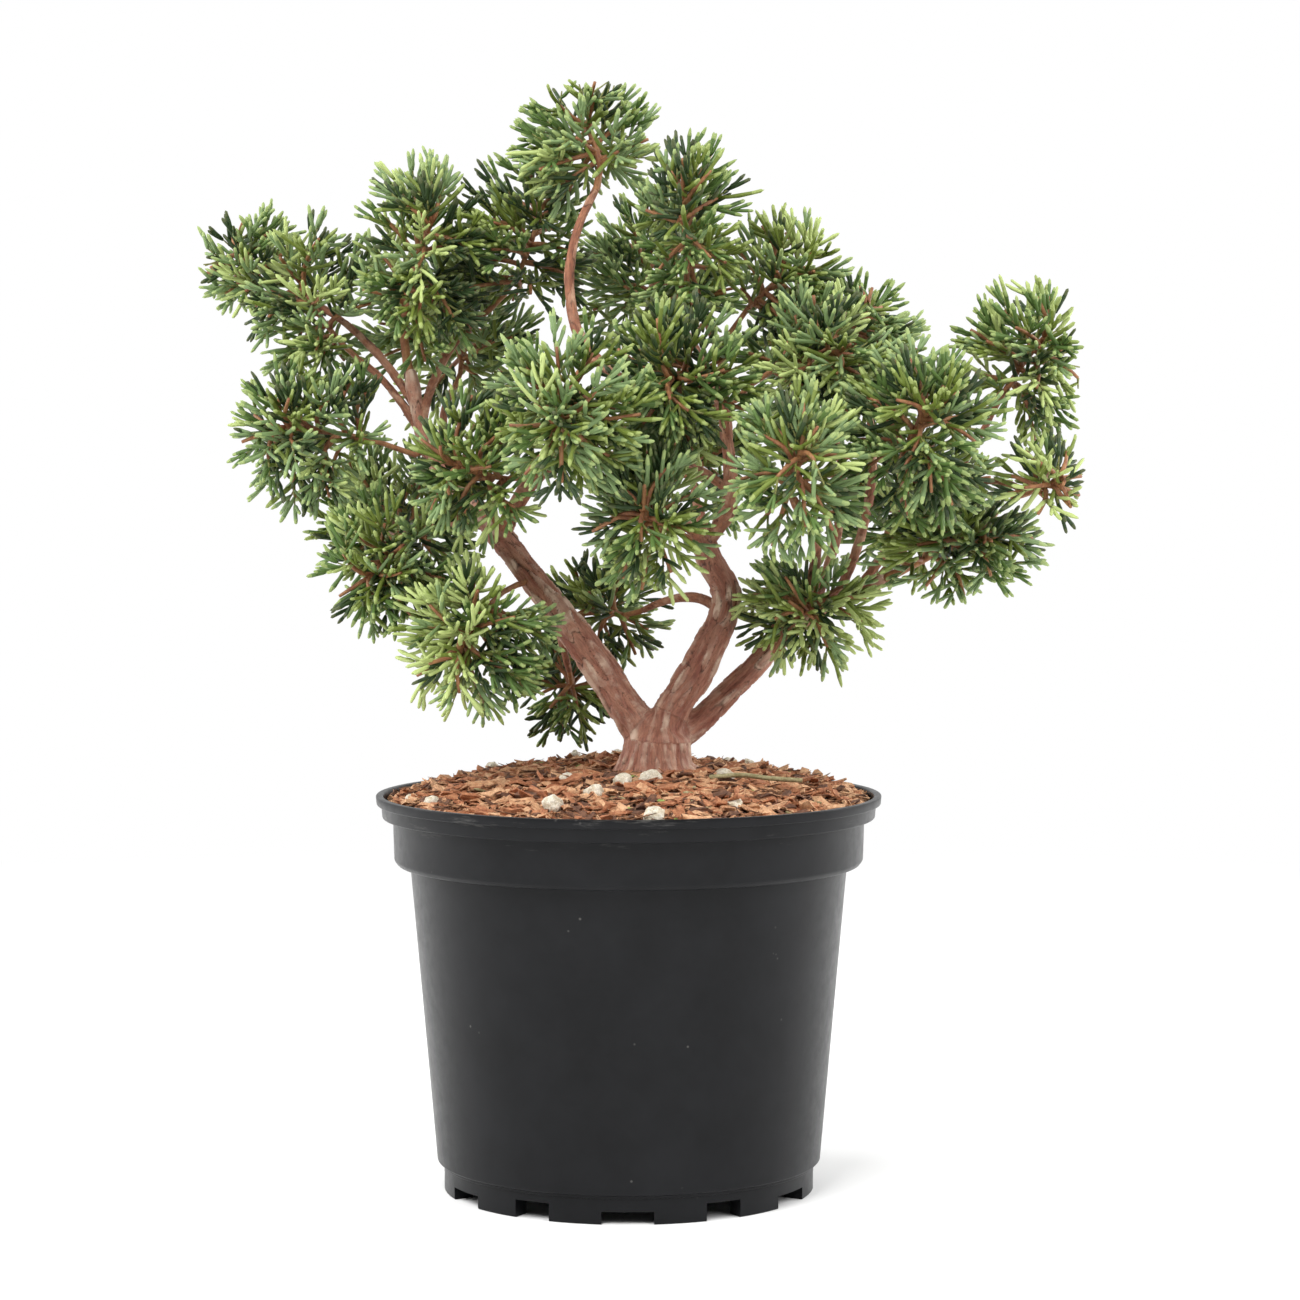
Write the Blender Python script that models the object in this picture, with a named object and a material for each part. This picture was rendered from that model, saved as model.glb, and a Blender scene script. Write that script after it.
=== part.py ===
"""A young spreading juniper with three main limbs, in a round nursery pot filled to its rim with bark mulch.

The origin is on the pot's axis, at the level its feet stand on. +Z is up, the crown is longest along X and
the plant's front faces -Y. All sizes are in metres, all angles in degrees until they are used.
"""

import math
import random
from dataclasses import dataclass, field

import bmesh
import bpy
import numpy as np
from mathutils import Matrix

SEED = 7
CLEARANCE = 0.0003  # between two pieces that meet
TIP_CLEARANCE = 0.0005  # between a limb's tip and what grows on from it at a slant
GOLDEN_ANGLE = math.pi * (3 - math.sqrt(5))
UP = np.array((0.0, 0.0, 1.0))

# Pot: radii from its axis and heights above the ground
POT_SIDES = 36
POT_HEIGHT = 0.1490
POT_WALL = 0.0015
RIM_RADIUS = 0.0950
RIM_HEIGHT = 0.0034
COLLAR_RADIUS = 0.0930
BAND_RADIUS = 0.0886
BAND_TOP = 0.1402
BAND_BOTTOM = 0.1230
BODY_TOP_RADIUS = 0.0822
BASE_RADIUS = 0.0723
FOOT_RADIUS = 0.0698
FOOT_HEIGHT = 0.0102
FOOT_RING_WIDTH = 0.0075
FLOOR_UNDERSIDE = 0.0072
FLOOR_TOP = 0.0095
EDGE_ROUND = 0.0009
FOOT_UNITS = 6  # the foot ring repeats this often round the pot
GAP_WIDTH, GAP_HEIGHT = 0.0190, 0.0047
SLOT_WIDTH, SLOT_HEIGHT = 0.0142, 0.0066

# Mulch: it lies just under the rim at the wall and rises to the trunk
MULCH_EDGE = 0.1452
MULCH_TOP = 0.1570
MULCH_FLAT = 0.0290  # radius of its level middle
MULCH_BUMP = 0.0009

# Trunk: a short leaning stump with a flared foot
TRUNK_FOOT = (0.0102, 0.0, MULCH_TOP + CLEARANCE)
TRUNK_FORK = (0.0112, 0.0005, 0.1725)
TRUNK_RADII = (0.0172, 0.0143, 0.0131, 0.0124, 0.0088)
TRUNK_LOBES = 5
TRUNK_LOBE_DEPTH = 0.09
TRUNK_SIDES = 14
TRUNK_SPACING = 0.003

# Limbs
ROUTE_STEP = 0.001
SEAT_GAP = 0.0022  # a collar runs on until its end is this far out of its parent
KNOB = 0.05  # how far a limb's thickness wanders, as a share of it
LIMB_SPACING = 0.0125  # between the cross sections of a limb
LEAD = 2  # steps from a limb's foot to its second cross section, which keeps the first square to it
BOUGH_RADII = (0.0019, 0.0012)
STEM_RADII = (0.0012, 0.0008)
SHORTEST_BOUGH = 0.034
BOUGH_ENTERS = 0.85  # share of a mass's radii at which its bough ends

# Masses of foliage
STEM_REACH = 0.5
STEM_SPACING = 0.0120
TWIG_SPACING = 0.0130
CORE_SHARES = (0.0, 0.38, 0.72, 1.0)  # along a twig, with the radii of the needles packed round it there
CORE_RADII = (0.0013, 0.0046, 0.0040, 0.0007)
SPRIG_LENGTH = 0.0200
SPRIG_RADIUS = 0.0038
SPRIG_ANGLE = 42
SPRIG_STEP = 0.0115  # between sprigs along a twig
SPRIG_BARE = 0.30  # share of a twig with no sprigs
SPRIG_WAIST = 0.38  # share of a sprig's length at which it is thickest
SHORTEST_TWIG = 0.010
FIRST_TWIG = 7  # steps along a stem before the first twig leaves it
LEAF_GAP = 0.0007
SAMPLES = 6

BARK_RED = (0.155, 0.078, 0.050)
BARK_TWIG = (0.200, 0.088, 0.045)
POT_BLACK = (0.022, 0.023, 0.025)
MULCH_BROWN = (0.165, 0.075, 0.040)
GREENS = {
    "blue": (0.085, 0.170, 0.105),
    "mid": (0.065, 0.130, 0.050),
    "yellow": (0.200, 0.235, 0.060),
    "dark": (0.030, 0.060, 0.026),
}


@dataclass
class Limb:
    """A tapering limb along its own middle line. Collars are the roots of the limbs that leave it."""

    name: str
    route: np.ndarray
    radii: np.ndarray
    sides: int = 6
    collars: list = field(default_factory=list)


@dataclass
class Mass:
    """One mass of foliage: the ellipsoid that it keeps to, and where on which limb it grows from."""

    name: str
    limb: str
    place: float
    centre: tuple
    radii: tuple
    green: str = "mid"
    twigs: int = 6
    lift: float = 0.15  # how far its twigs turn up, or down where it is negative
    stem: object = None
    shoots: list = field(default_factory=list)


# The limbs that show: name, parent, share of the parent's length, points, radii at both ends, sides
LIMBS = (
    ("left_limb", "trunk", 0.50,
     ((0.0025, 0.000, 0.1765), (-0.0125, 0.000, 0.1985), (-0.0315, 0.005, 0.2235),
      (-0.0505, 0.012, 0.2475), (-0.0755, 0.025, 0.2780), (-0.0840, 0.030, 0.3080)),
     (0.0072, 0.0026), 8),
    ("centre_limb", "trunk", 0.55,
     ((0.0160, 0.001, 0.1800), (0.0275, 0.000, 0.1985), (0.0352, 0.002, 0.2155),
      (0.0366, 0.004, 0.2260), (0.0315, 0.005, 0.2360), (0.0268, 0.005, 0.2470)),
     (0.0067, 0.0048), 8),
    ("right_limb", "trunk", 0.48,
     ((0.0235, 0.005, 0.1735), (0.0440, 0.010, 0.1925), (0.0560, 0.014, 0.2055),
      (0.0725, 0.016, 0.2180), (0.0870, 0.012, 0.2240), (0.0970, 0.002, 0.2300)),
     (0.0053, 0.0026), 8),
    ("centre_stem", "centre_limb", 0.93,
     ((0.0375, 0.002, 0.2560), (0.0378, -0.001, 0.2700), (0.0355, -0.005, 0.2960),
      (0.0345, -0.008, 0.3120), (0.0275, -0.012, 0.3300)),
     (0.0030, 0.0016), 6),
    ("leader_foot", "left_limb", 0.52,
     ((-0.0380, 0.002, 0.2640), (-0.0255, -0.015, 0.2775), (-0.0080, -0.034, 0.2836),
      (0.0010, -0.043, 0.2838)),
     (0.0031, 0.0028), 6),
    ("leader", "leader_foot", 1.0,
     ((0.0080, -0.0500, 0.2895), (0.0050, -0.049, 0.2965), (-0.0045, -0.042, 0.3050),
      (-0.0150, -0.033, 0.3155), (-0.0205, -0.026, 0.3280), (-0.0215, -0.019, 0.3460),
      (-0.0180, -0.012, 0.3620), (-0.0125, -0.005, 0.3740)),
     (0.0026, 0.0015), 6),
)

# Masses: name, limb, share of its length, centre, radii, green, twigs, lift
MASSES = (
    Mass("left_crown", "left_limb", 1.0, (-0.077, 0.014, 0.346), (0.026, 0.030, 0.042), "blue", 6, 0.25),
    Mass("left_tip", "left_limb", 0.90, (-0.147, 0.065, 0.349), (0.021, 0.020, 0.021), "blue", 5, 0.30),
    Mass("left_shoulder", "left_limb", 0.82, (-0.118, 0.045, 0.331), (0.028, 0.030, 0.036), "blue", 5),
    Mass("left_outer", "left_limb", 0.74, (-0.117, 0.010, 0.283), (0.031, 0.028, 0.029), "blue", 5, 0.05),
    Mass("left_low", "left_limb", 0.60, (-0.086, -0.010, 0.237), (0.028, 0.028, 0.027), "mid", 5, 0.0),
    Mass("left_hanging", "left_limb", 0.38, (-0.056, -0.035, 0.209), (0.028, 0.024, 0.028), "yellow", 5, -0.2),
    Mass("left_inner", "centre_stem", 0.14, (-0.052, -0.035, 0.272), (0.026, 0.024, 0.029), "mid", 5),
    Mass("left_back_high", "left_limb", 0.70, (-0.070, 0.082, 0.322), (0.035, 0.036, 0.035), "blue", 5),
    Mass("left_back_low", "left_limb", 0.50, (-0.088, 0.068, 0.252), (0.036, 0.036, 0.029), "mid", 5, 0.0),
    Mass("leader_top", "leader", 1.0, (-0.016, 0.006, 0.392), (0.026, 0.022, 0.026), "blue", 6, 0.3),
    Mass("leader_back", "left_limb", 0.86, (-0.042, 0.027, 0.354), (0.027, 0.028, 0.036), "dark", 5, 0.25),
    Mass("leader_tuft", "leader", 0.36, (-0.020, -0.082, 0.292), (0.027, 0.027, 0.031), "blue", 5, 0.1),
    Mass("centre_spire", "centre_stem", 1.0, (0.023, -0.021, 0.354), (0.018, 0.022, 0.040), "mid", 6, 0.3),
    Mass("centre_heart", "centre_stem", 0.62, (0.018, -0.056, 0.302), (0.028, 0.028, 0.030), "mid", 5),
    Mass("centre_hanging", "centre_limb", 0.86, (0.009, -0.066, 0.254), (0.023, 0.022, 0.029), "blue", 5, -0.1),
    Mass("back_low", "centre_limb", 0.50, (-0.008, 0.046, 0.217), (0.023, 0.022, 0.021), "dark", 5, -0.1),
    Mass("back_hanging", "left_limb", 0.24, (-0.024, 0.054, 0.186), (0.016, 0.018, 0.023), "dark", 4, -0.3),
    Mass("back_high", "centre_stem", 0.40, (0.010, 0.074, 0.345), (0.034, 0.034, 0.038), "blue", 5, 0.2),
    Mass("back_middle", "centre_limb", 0.72, (0.022, 0.090, 0.275), (0.036, 0.030, 0.034), "mid", 5, 0.0),
    Mass("right_spire", "centre_stem", 0.78, (0.057, -0.005, 0.339), (0.021, 0.024, 0.025), "mid", 5, 0.3),
    Mass("right_notch", "right_limb", 0.72, (0.089, 0.020, 0.323), (0.015, 0.018, 0.019), "mid", 4, 0.3),
    Mass("right_upper", "centre_stem", 0.50, (0.068, -0.040, 0.309), (0.028, 0.028, 0.026), "blue", 5),
    Mass("right_front", "right_limb", 0.50, (0.060, -0.092, 0.270), (0.023, 0.028, 0.030), "blue", 5, 0.0),
    Mass("right_outer", "right_limb", 0.80, (0.103, -0.072, 0.283), (0.029, 0.030, 0.033), "blue", 6, 0.1),
    Mass("right_far", "right_limb", 0.92, (0.145, -0.030, 0.309), (0.023, 0.025, 0.029), "yellow", 5, 0.25),
    Mass("right_tip", "right_far_bough", 0.40, (0.149, -0.062, 0.267), (0.016, 0.018, 0.014), "yellow", 4, 0.1),
    Mass("right_low", "right_limb", 1.0, (0.119, -0.028, 0.243), (0.032, 0.030, 0.019), "mid", 5, 0.0),
    Mass("right_hanging", "right_limb", 0.66, (0.067, -0.012, 0.218), (0.026, 0.022, 0.021), "yellow", 5, -0.3),
    Mass("right_back_high", "right_limb", 0.60, (0.082, 0.072, 0.313), (0.036, 0.036, 0.033), "blue", 5),
    Mass("right_back_low", "right_limb", 0.86, (0.112, 0.060, 0.255), (0.036, 0.036, 0.030), "mid", 5, 0.0),
)


def unit(vector):
    return vector / np.linalg.norm(vector)


def clear_scene():
    for old in list(bpy.data.objects):
        bpy.data.objects.remove(old, do_unlink=True)


def material(name, colour, roughness):
    made = bpy.data.materials.new(name)
    made.use_nodes = True
    shader = made.node_tree.nodes["Principled BSDF"]
    shader.inputs["Base Color"].default_value = (*colour, 1.0)
    shader.inputs["Roughness"].default_value = roughness
    shader.inputs["Metallic"].default_value = 0.0
    made.diffuse_color = (*colour, 1.0)
    return made


def mesh_object(name, bm, look=None):
    """An object of the bmesh, which is freed, linked to the scene."""
    mesh = bpy.data.meshes.new(name)
    bm.to_mesh(mesh)
    bm.free()
    made = bpy.data.objects.new(name, mesh)
    bpy.context.scene.collection.objects.link(made)
    if look:
        mesh.materials.append(look)
    return made


def fuse(whole, others):
    """Unites the other objects with the whole by one Boolean, applies it and removes them."""
    group = bpy.data.collections.new("fused")
    bpy.context.scene.collection.children.link(group)
    for other in others:
        bpy.context.scene.collection.objects.unlink(other)
        group.objects.link(other)
    union = whole.modifiers.new("union", "BOOLEAN")
    union.operation = "UNION"
    union.operand_type = "COLLECTION"
    union.collection = group
    union.solver = "EXACT"
    union.use_self = False
    apply_modifiers(whole)
    for other in others:
        bpy.data.objects.remove(other, do_unlink=True)
    bpy.data.collections.remove(group)


def apply_modifiers(made):
    graph = bpy.context.evaluated_depsgraph_get()
    mesh = bpy.data.meshes.new_from_object(made.evaluated_get(graph))
    made.modifiers.clear()
    made.data = mesh


def shade(made, sharp_above):
    made.data.shade_smooth()
    made.data.set_sharp_from_angle(angle=math.radians(sharp_above))


def lathe(profile, sides):
    """A bmesh of the closed (radius, height) profile turned once round Z."""
    bm = bmesh.new()
    corners = [bm.verts.new((radius, 0.0, height)) for radius, height in profile]
    edges = [bm.edges.new(pair) for pair in zip(corners, corners[1:])]
    if min(profile[0][0], profile[-1][0]) > 0:
        edges.append(bm.edges.new((corners[-1], corners[0])))
    bmesh.ops.spin(
        bm, geom=corners + edges, cent=(0, 0, 0), axis=(0, 0, 1), angle=2 * math.pi, steps=sides,
        use_merge=True, use_duplicate=False,
    )
    bmesh.ops.remove_doubles(bm, verts=bm.verts, dist=1e-6)
    bmesh.ops.recalc_face_normals(bm, faces=bm.faces)
    return bm


def inner_wall():
    """(radius, height) points of the pot's inside, from its floor to its rim."""
    return (
        (BASE_RADIUS - POT_WALL, FLOOR_TOP),
        (BODY_TOP_RADIUS - POT_WALL, BAND_BOTTOM - POT_WALL),
        (BAND_RADIUS - POT_WALL, BAND_BOTTOM + 2 * POT_WALL),
        (BAND_RADIUS - POT_WALL, BAND_TOP - POT_WALL / 2),
        (COLLAR_RADIUS - POT_WALL, BAND_TOP + POT_WALL),
        (COLLAR_RADIUS - POT_WALL, POT_HEIGHT - POT_WALL),
    )


def box(bm, width, depth, height, angle, radius):
    """Adds a box with its underside below the ground, its middle at this radius and angle round Z."""
    made = bmesh.ops.create_cube(bm, size=1.0)["verts"]
    bmesh.ops.scale(bm, vec=(depth, width, 2 * height), verts=made)
    bmesh.ops.translate(bm, vec=(radius, 0, 0), verts=made)
    bmesh.ops.rotate(bm, cent=(0, 0, 0), matrix=Matrix.Rotation(angle, 3, "Z"), verts=made)


def make_pot():
    rim_bottom = POT_HEIGHT - RIM_HEIGHT
    foot_inside = FOOT_RADIUS - FOOT_RING_WIDTH
    outside = (
        (0.0, FLOOR_UNDERSIDE),
        (foot_inside, FLOOR_UNDERSIDE),
        (foot_inside, 0.0),
        (FOOT_RADIUS - EDGE_ROUND, 0.0),
        (FOOT_RADIUS, EDGE_ROUND),
        (FOOT_RADIUS, FOOT_HEIGHT),
        (BASE_RADIUS, FOOT_HEIGHT + EDGE_ROUND),
        (BODY_TOP_RADIUS, BAND_BOTTOM),
        (BAND_RADIUS - 2 * EDGE_ROUND, BAND_BOTTOM),
        (BAND_RADIUS - EDGE_ROUND / 2, BAND_BOTTOM + 2 * EDGE_ROUND),
        (BAND_RADIUS, BAND_TOP - EDGE_ROUND),
        (BAND_RADIUS + EDGE_ROUND, BAND_TOP),
        (COLLAR_RADIUS - EDGE_ROUND / 2, BAND_TOP),
        (COLLAR_RADIUS, rim_bottom),
        (RIM_RADIUS - EDGE_ROUND / 2, rim_bottom),
        (RIM_RADIUS, rim_bottom + EDGE_ROUND),
        (RIM_RADIUS - EDGE_ROUND / 2, POT_HEIGHT - EDGE_ROUND / 2),
        (RIM_RADIUS - 2 * EDGE_ROUND, POT_HEIGHT),
    )
    inside = (*reversed(inner_wall()), (0.0, FLOOR_TOP))
    pot = mesh_object("pot", lathe(outside + inside, POT_SIDES), material("pot_plastic", POT_BLACK, 0.38))
    shade(pot, 30)

    unit_angle = 2 * math.pi / FOOT_UNITS
    front = -math.pi / 2
    middle = FOOT_RADIUS - FOOT_RING_WIDTH / 2
    bm = bmesh.new()
    for index in range(FOOT_UNITS):
        centre = front + index * unit_angle
        box(bm, GAP_WIDTH, 2 * FOOT_RING_WIDTH, GAP_HEIGHT, centre, middle)
        box(bm, SLOT_WIDTH, 2 * FOOT_RING_WIDTH, SLOT_HEIGHT, centre + unit_angle / 2, middle)
    cutter = mesh_object("foot_gaps", bm)
    cutter.hide_render = True
    cutter.display_type = "WIRE"
    cut = pot.modifiers.new("foot_gaps", "BOOLEAN")
    cut.object = cutter
    cut.operation = "DIFFERENCE"


def make_soil():
    """A plug of mulch that fills the pot and rises in a low bumpy mound."""
    wall = [(radius - CLEARANCE, height) for radius, height in inner_wall()[:-1]]
    wall[0] = (wall[0][0], FLOOR_TOP + CLEARANCE)
    edge = wall[-1][0]
    slope = []
    for share in (1.0, 0.8, 0.55, 0.28, 0.0):
        radius = MULCH_FLAT + share * (edge - MULCH_FLAT)
        slope.append((radius, MULCH_EDGE + (MULCH_TOP - MULCH_EDGE) * (1 - share**1.4)))
    profile = ((0.0, FLOOR_TOP + CLEARANCE), *wall, *slope, (0.0, MULCH_TOP))
    bm = lathe(profile, POT_SIDES)
    rng = random.Random(SEED)
    for vert in bm.verts:
        if MULCH_EDGE < vert.co.z < MULCH_TOP - MULCH_BUMP:
            vert.co.z += rng.uniform(-MULCH_BUMP, MULCH_BUMP)
    soil = mesh_object("soil", bm, material("bark_mulch", MULCH_BROWN, 0.9))
    shade(soil, 40)


def smooth_route(points):
    """Evenly spaced points on a smooth curve through the given ones."""
    points = np.array(points, float)
    ends = np.vstack((2 * points[0] - points[1], points, 2 * points[-1] - points[-2]))
    fine = []
    for a, b, c, d in zip(ends, ends[1:], ends[2:], ends[3:]):
        t = np.linspace(0, 1, 24, endpoint=False)[:, None]
        fine.append(
            0.5 * (2 * b + (c - a) * t + (2 * a - 5 * b + 4 * c - d) * t**2 + (3 * b - a - 3 * c + d) * t**3)
        )
    return even_route(np.vstack((*fine, points[-1:])))


def bent_route(start, control, end):
    """Evenly spaced points from the start to the end, leaving the start towards the control."""
    t = np.linspace(0, 1, 60)[:, None]
    return even_route((1 - t) ** 2 * start + 2 * t * (1 - t) * control + t**2 * end)


def even_route(line, step=ROUTE_STEP):
    lengths = np.concatenate(([0], np.cumsum(np.linalg.norm(np.diff(line, axis=0), axis=1))))
    count = max(3, round(lengths[-1] / step) + 1)
    wanted = np.linspace(0, lengths[-1], count)
    return np.stack([np.interp(wanted, lengths, line[:, axis]) for axis in range(3)], axis=1)


def tangents(route):
    ways = np.gradient(route, axis=0)
    return ways / np.linalg.norm(ways, axis=1)[:, None]


def side_ways(route):
    """A way square to the route at each point, turning as little as it can."""
    ways = tangents(route)
    side = unit(np.cross(ways[0], (0.31, 0.87, 0.39)))
    found = []
    for way in ways:
        side = unit(side - way * side.dot(way))
        found.append(side)
    return ways, np.array(found)


def ring(point, way, side, radius, sides, lobes=0.0):
    """The corners of a cross section, square to the way."""
    other = np.cross(way, side)
    corners = []
    for index in range(sides):
        angle = 2 * math.pi * index / sides
        reach = radius * (1 + lobes * math.cos(TRUNK_LOBES * angle))
        corners.append(point + reach * (math.cos(angle) * side + math.sin(angle) * other))
    return corners


def tube(route, radii, sides, lobes=None, foot_way=None):
    """A bmesh of a closed tube whose cross sections are square to its route, or the first to a way of its own."""
    ways, across = side_ways(route)
    if foot_way is not None:
        ways[0] = foot_way
        across[0] = unit(across[0] - foot_way * across[0].dot(foot_way))
    lobes = np.zeros(len(route)) if lobes is None else lobes
    bm = bmesh.new()
    rings = []
    for point, way, side, radius, lobe in zip(route, ways, across, radii, lobes):
        rings.append([bm.verts.new(corner) for corner in ring(point, way, side, radius, sides, lobe)])
    for low, high in zip(rings, rings[1:]):
        for index in range(sides):
            after = (index + 1) % sides
            bm.faces.new((low[index], low[after], high[after], high[index]))
    bm.faces.new(reversed(rings[0]))
    bm.faces.new(rings[-1])
    return bm


def spindle(root, way, side, length, radius):
    """A bmesh of a slim three-sided body with a point at each end."""
    bm = bmesh.new()
    first = bm.verts.new(root)
    last = bm.verts.new(root + way * length)
    waist = [bm.verts.new(c) for c in ring(root + way * length * SPRIG_WAIST, way, side, radius, 3)]
    for index in range(3):
        after = (index + 1) % 3
        bm.faces.new((first, waist[after], waist[index]))
        bm.faces.new((last, waist[index], waist[after]))
    return bm


def spaced(route, spacing, lead=0):
    """The places in the route of cross sections about this far apart, and with a lead one near each end."""
    count = max(2, round((len(route) - 1) * ROUTE_STEP / spacing) + 1)
    places = np.linspace(0, len(route) - 1, count).round().astype(int)
    return np.unique((*places, lead, len(route) - 1 - lead))


def faceted(route, spacing, lead=0):
    """The route drawn straight between its cross sections, so that what grows from it starts inside it."""
    places = spaced(route, spacing, lead)
    every = np.arange(len(route))
    return np.stack([np.interp(every, places, route[places, axis]) for axis in range(3)], axis=1)


def nearest_gap(points, radius, others, other_radii):
    """The least distance between balls of this radius at the points and the others."""
    if not len(others):
        return math.inf
    apart = np.linalg.norm(points[:, None] - others[None], axis=2)
    return float((apart - other_radii[None]).min() - radius)


def split_off(parent_parts, route, radii):
    """The place in the route of a branch at which its whole cross section is out of its parent."""
    ways, across = side_ways(route)
    others = np.vstack([part[0] for part in parent_parts])
    other_radii = np.concatenate([part[1] for part in parent_parts])
    for index in range(2, len(route) - 3):
        corners = np.array(ring(route[index], ways[index], across[index], radii[index], 12))
        if nearest_gap(corners, SEAT_GAP, others, other_radii) > 0:
            return index
    raise ValueError("a branch never leaves its parent")


def trimmed(route, radii, start):
    """The rest of a branch past its collar, 0.3 mm clear of it."""
    way = unit(route[start + 1] - route[start])
    rest = np.vstack((route[start] + way * CLEARANCE, route[start + 1:]))
    return rest, radii[start:]


def wandering(radii, seed):
    """The radii of a limb, a little thicker and thinner along it as old wood is."""
    rng = random.Random(seed)
    knots = [1 + rng.uniform(-KNOB, KNOB) for _ in range(max(3, len(radii) // 14))]
    share = np.linspace(0, len(knots) - 1, len(radii))
    wander = np.interp(share, range(len(knots)), knots)
    wander[-1] = wander[0] = 1.0
    return radii * wander


def lay_trunk():
    foot = np.array(TRUNK_FOOT)
    line = smooth_route((foot, foot + 4 * ROUTE_STEP * UP, TRUNK_FORK))
    share = np.linspace(0, 1, len(line))
    radii = np.interp(share, (0.0, 0.18, 0.45, 0.85, 1.0), TRUNK_RADII)
    return Limb("trunk", line, radii, TRUNK_SIDES)


def branch_line(limbs, row):
    """The route and radii of a limb of LIMBS, from the middle line of its parent."""
    name, parent_name, place, points, ends, _ = row
    parent = limbs[parent_name]
    start = parent.route[round(place * (len(parent.route) - 1))]
    route = smooth_route((start, *points))
    return route, wandering(np.linspace(*ends, len(route)), len(name))


def lay_limbs():
    """All the main limbs by name, each with the collars of the limbs that leave it."""
    limbs = {"trunk": lay_trunk()}
    forks = {row[0]: branch_line(limbs, row) for row in LIMBS if row[1] == "trunk"}
    for row in LIMBS:
        name, parent_name, place, points, ends, sides = row
        parent = limbs[parent_name]
        if place == 1.0:
            way = unit(parent.route[-1] - parent.route[-2])
            start = parent.route[-1] + way * TIP_CLEARANCE
            route = smooth_route((start, start + way * 4 * ROUTE_STEP, *points))
            limbs[name] = Limb(name, route, np.linspace(*ends, len(route)), sides)
            continue
        route, radii = forks.get(name) or branch_line(limbs, row)
        family = [forks[other] for other in forks if name in forks and other != name]
        set_branch(limbs, parent, name, route, radii, sides, family)
    return limbs


def set_branch(limbs, parent, name, route, radii, sides, family=()):
    """Cuts a branch from its collar, which goes to the parent."""
    seat = split_off([(parent.route, parent.radii), *family], route, radii)
    parent.collars.append((route[: seat + 1], radii[: seat + 1], sides))
    rest, rest_radii = trimmed(route, radii, seat)
    limbs[name] = Limb(name, rest, rest_radii, sides)
    return limbs[name]


def share_inside(mass, points):
    """How far out in a mass the points are, 1 being its surface."""
    return np.linalg.norm((points - np.array(mass.centre)) / np.array(mass.radii), axis=-1)


def lay_bough(limbs, mass):
    """Gives a mass its bough and the start of its stem."""
    parent = limbs[mass.limb]
    centre, reach = np.array(mass.centre), np.array(mass.radii)
    if mass.place == 1.0:
        set_stem(mass, parent.route[-1], unit(parent.route[-1] - parent.route[-3]), parent.radii[-1])
        return
    index = round(mass.place * (len(parent.route) - 1))
    start = parent.route[index]
    way = unit(parent.route[min(index + 4, len(parent.route) - 1)] - parent.route[index - 4])
    inward = unit((start - centre) / reach)
    entry = centre + reach * inward * BOUGH_ENTERS
    run = np.linalg.norm(entry - start)
    far = centre + (centre - entry) / BOUGH_ENTERS * STEM_REACH
    if run < SHORTEST_BOUGH or share_inside(mass, start) < 1:
        run = np.linalg.norm(far - start)
        route = bent_route(start, start + run * (0.2 * way + 0.3 * unit(far - start)), far)
        radii = np.linspace(STEM_RADII[0], STEM_RADII[1], len(route))
        seat = split_off([(parent.route, parent.radii)], route, radii)
        parent.collars.append((route[: seat + 1], radii[: seat + 1], 5))
        rest, rest_radii = trimmed(route, radii, seat)
        mass.stem = (faceted(rest, STEM_SPACING, LEAD), rest_radii)
        return
    control = start + run * (0.25 * way + 0.35 * unit(entry - start) + 0.06 * UP)
    route = bent_route(start, control, entry)
    thick = min(BOUGH_RADII[0] + 0.008 * run, 0.62 * parent.radii[index])
    radii = wandering(np.linspace(thick, BOUGH_RADII[1], len(route)), len(mass.name))
    bough = set_branch(limbs, parent, mass.name + "_bough", route, radii, 6)
    set_stem(mass, bough.route[-1], unit(bough.route[-1] - bough.route[-3]), bough.radii[-1])


def set_stem(mass, tip, way, radius):
    """The stem of a mass: from just past its bough's tip, bending to the far half of the mass."""
    centre, reach = np.array(mass.centre), np.array(mass.radii)
    start = tip + way * TIP_CLEARANCE
    far = centre + reach * unit((centre - start) / reach) * STEM_REACH
    run = np.linalg.norm(far - start)
    route = bent_route(start, start + way * run * 0.45, far)
    thick = min(radius * 0.95, BOUGH_RADII[0])
    mass.stem = (faceted(route, STEM_SPACING, LEAD), np.linspace(thick, STEM_RADII[1], len(route)))


def keeps_space(mass, masses, points, radius, taken):
    """Whether these points, this thick, stay in the mass's own space and clear of all else."""
    own = share_inside(mass, points)
    if own.max() > 1.0:
        return False
    for other in masses:
        if other is mass:
            continue
        closer = share_inside(other, points) - own
        slack = (radius + LEAF_GAP) * (1 / min(mass.radii) + 1 / min(other.radii))
        if (closer < slack).any():
            return False
    return nearest_gap(points, radius + LEAF_GAP, *taken) > 0


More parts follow.
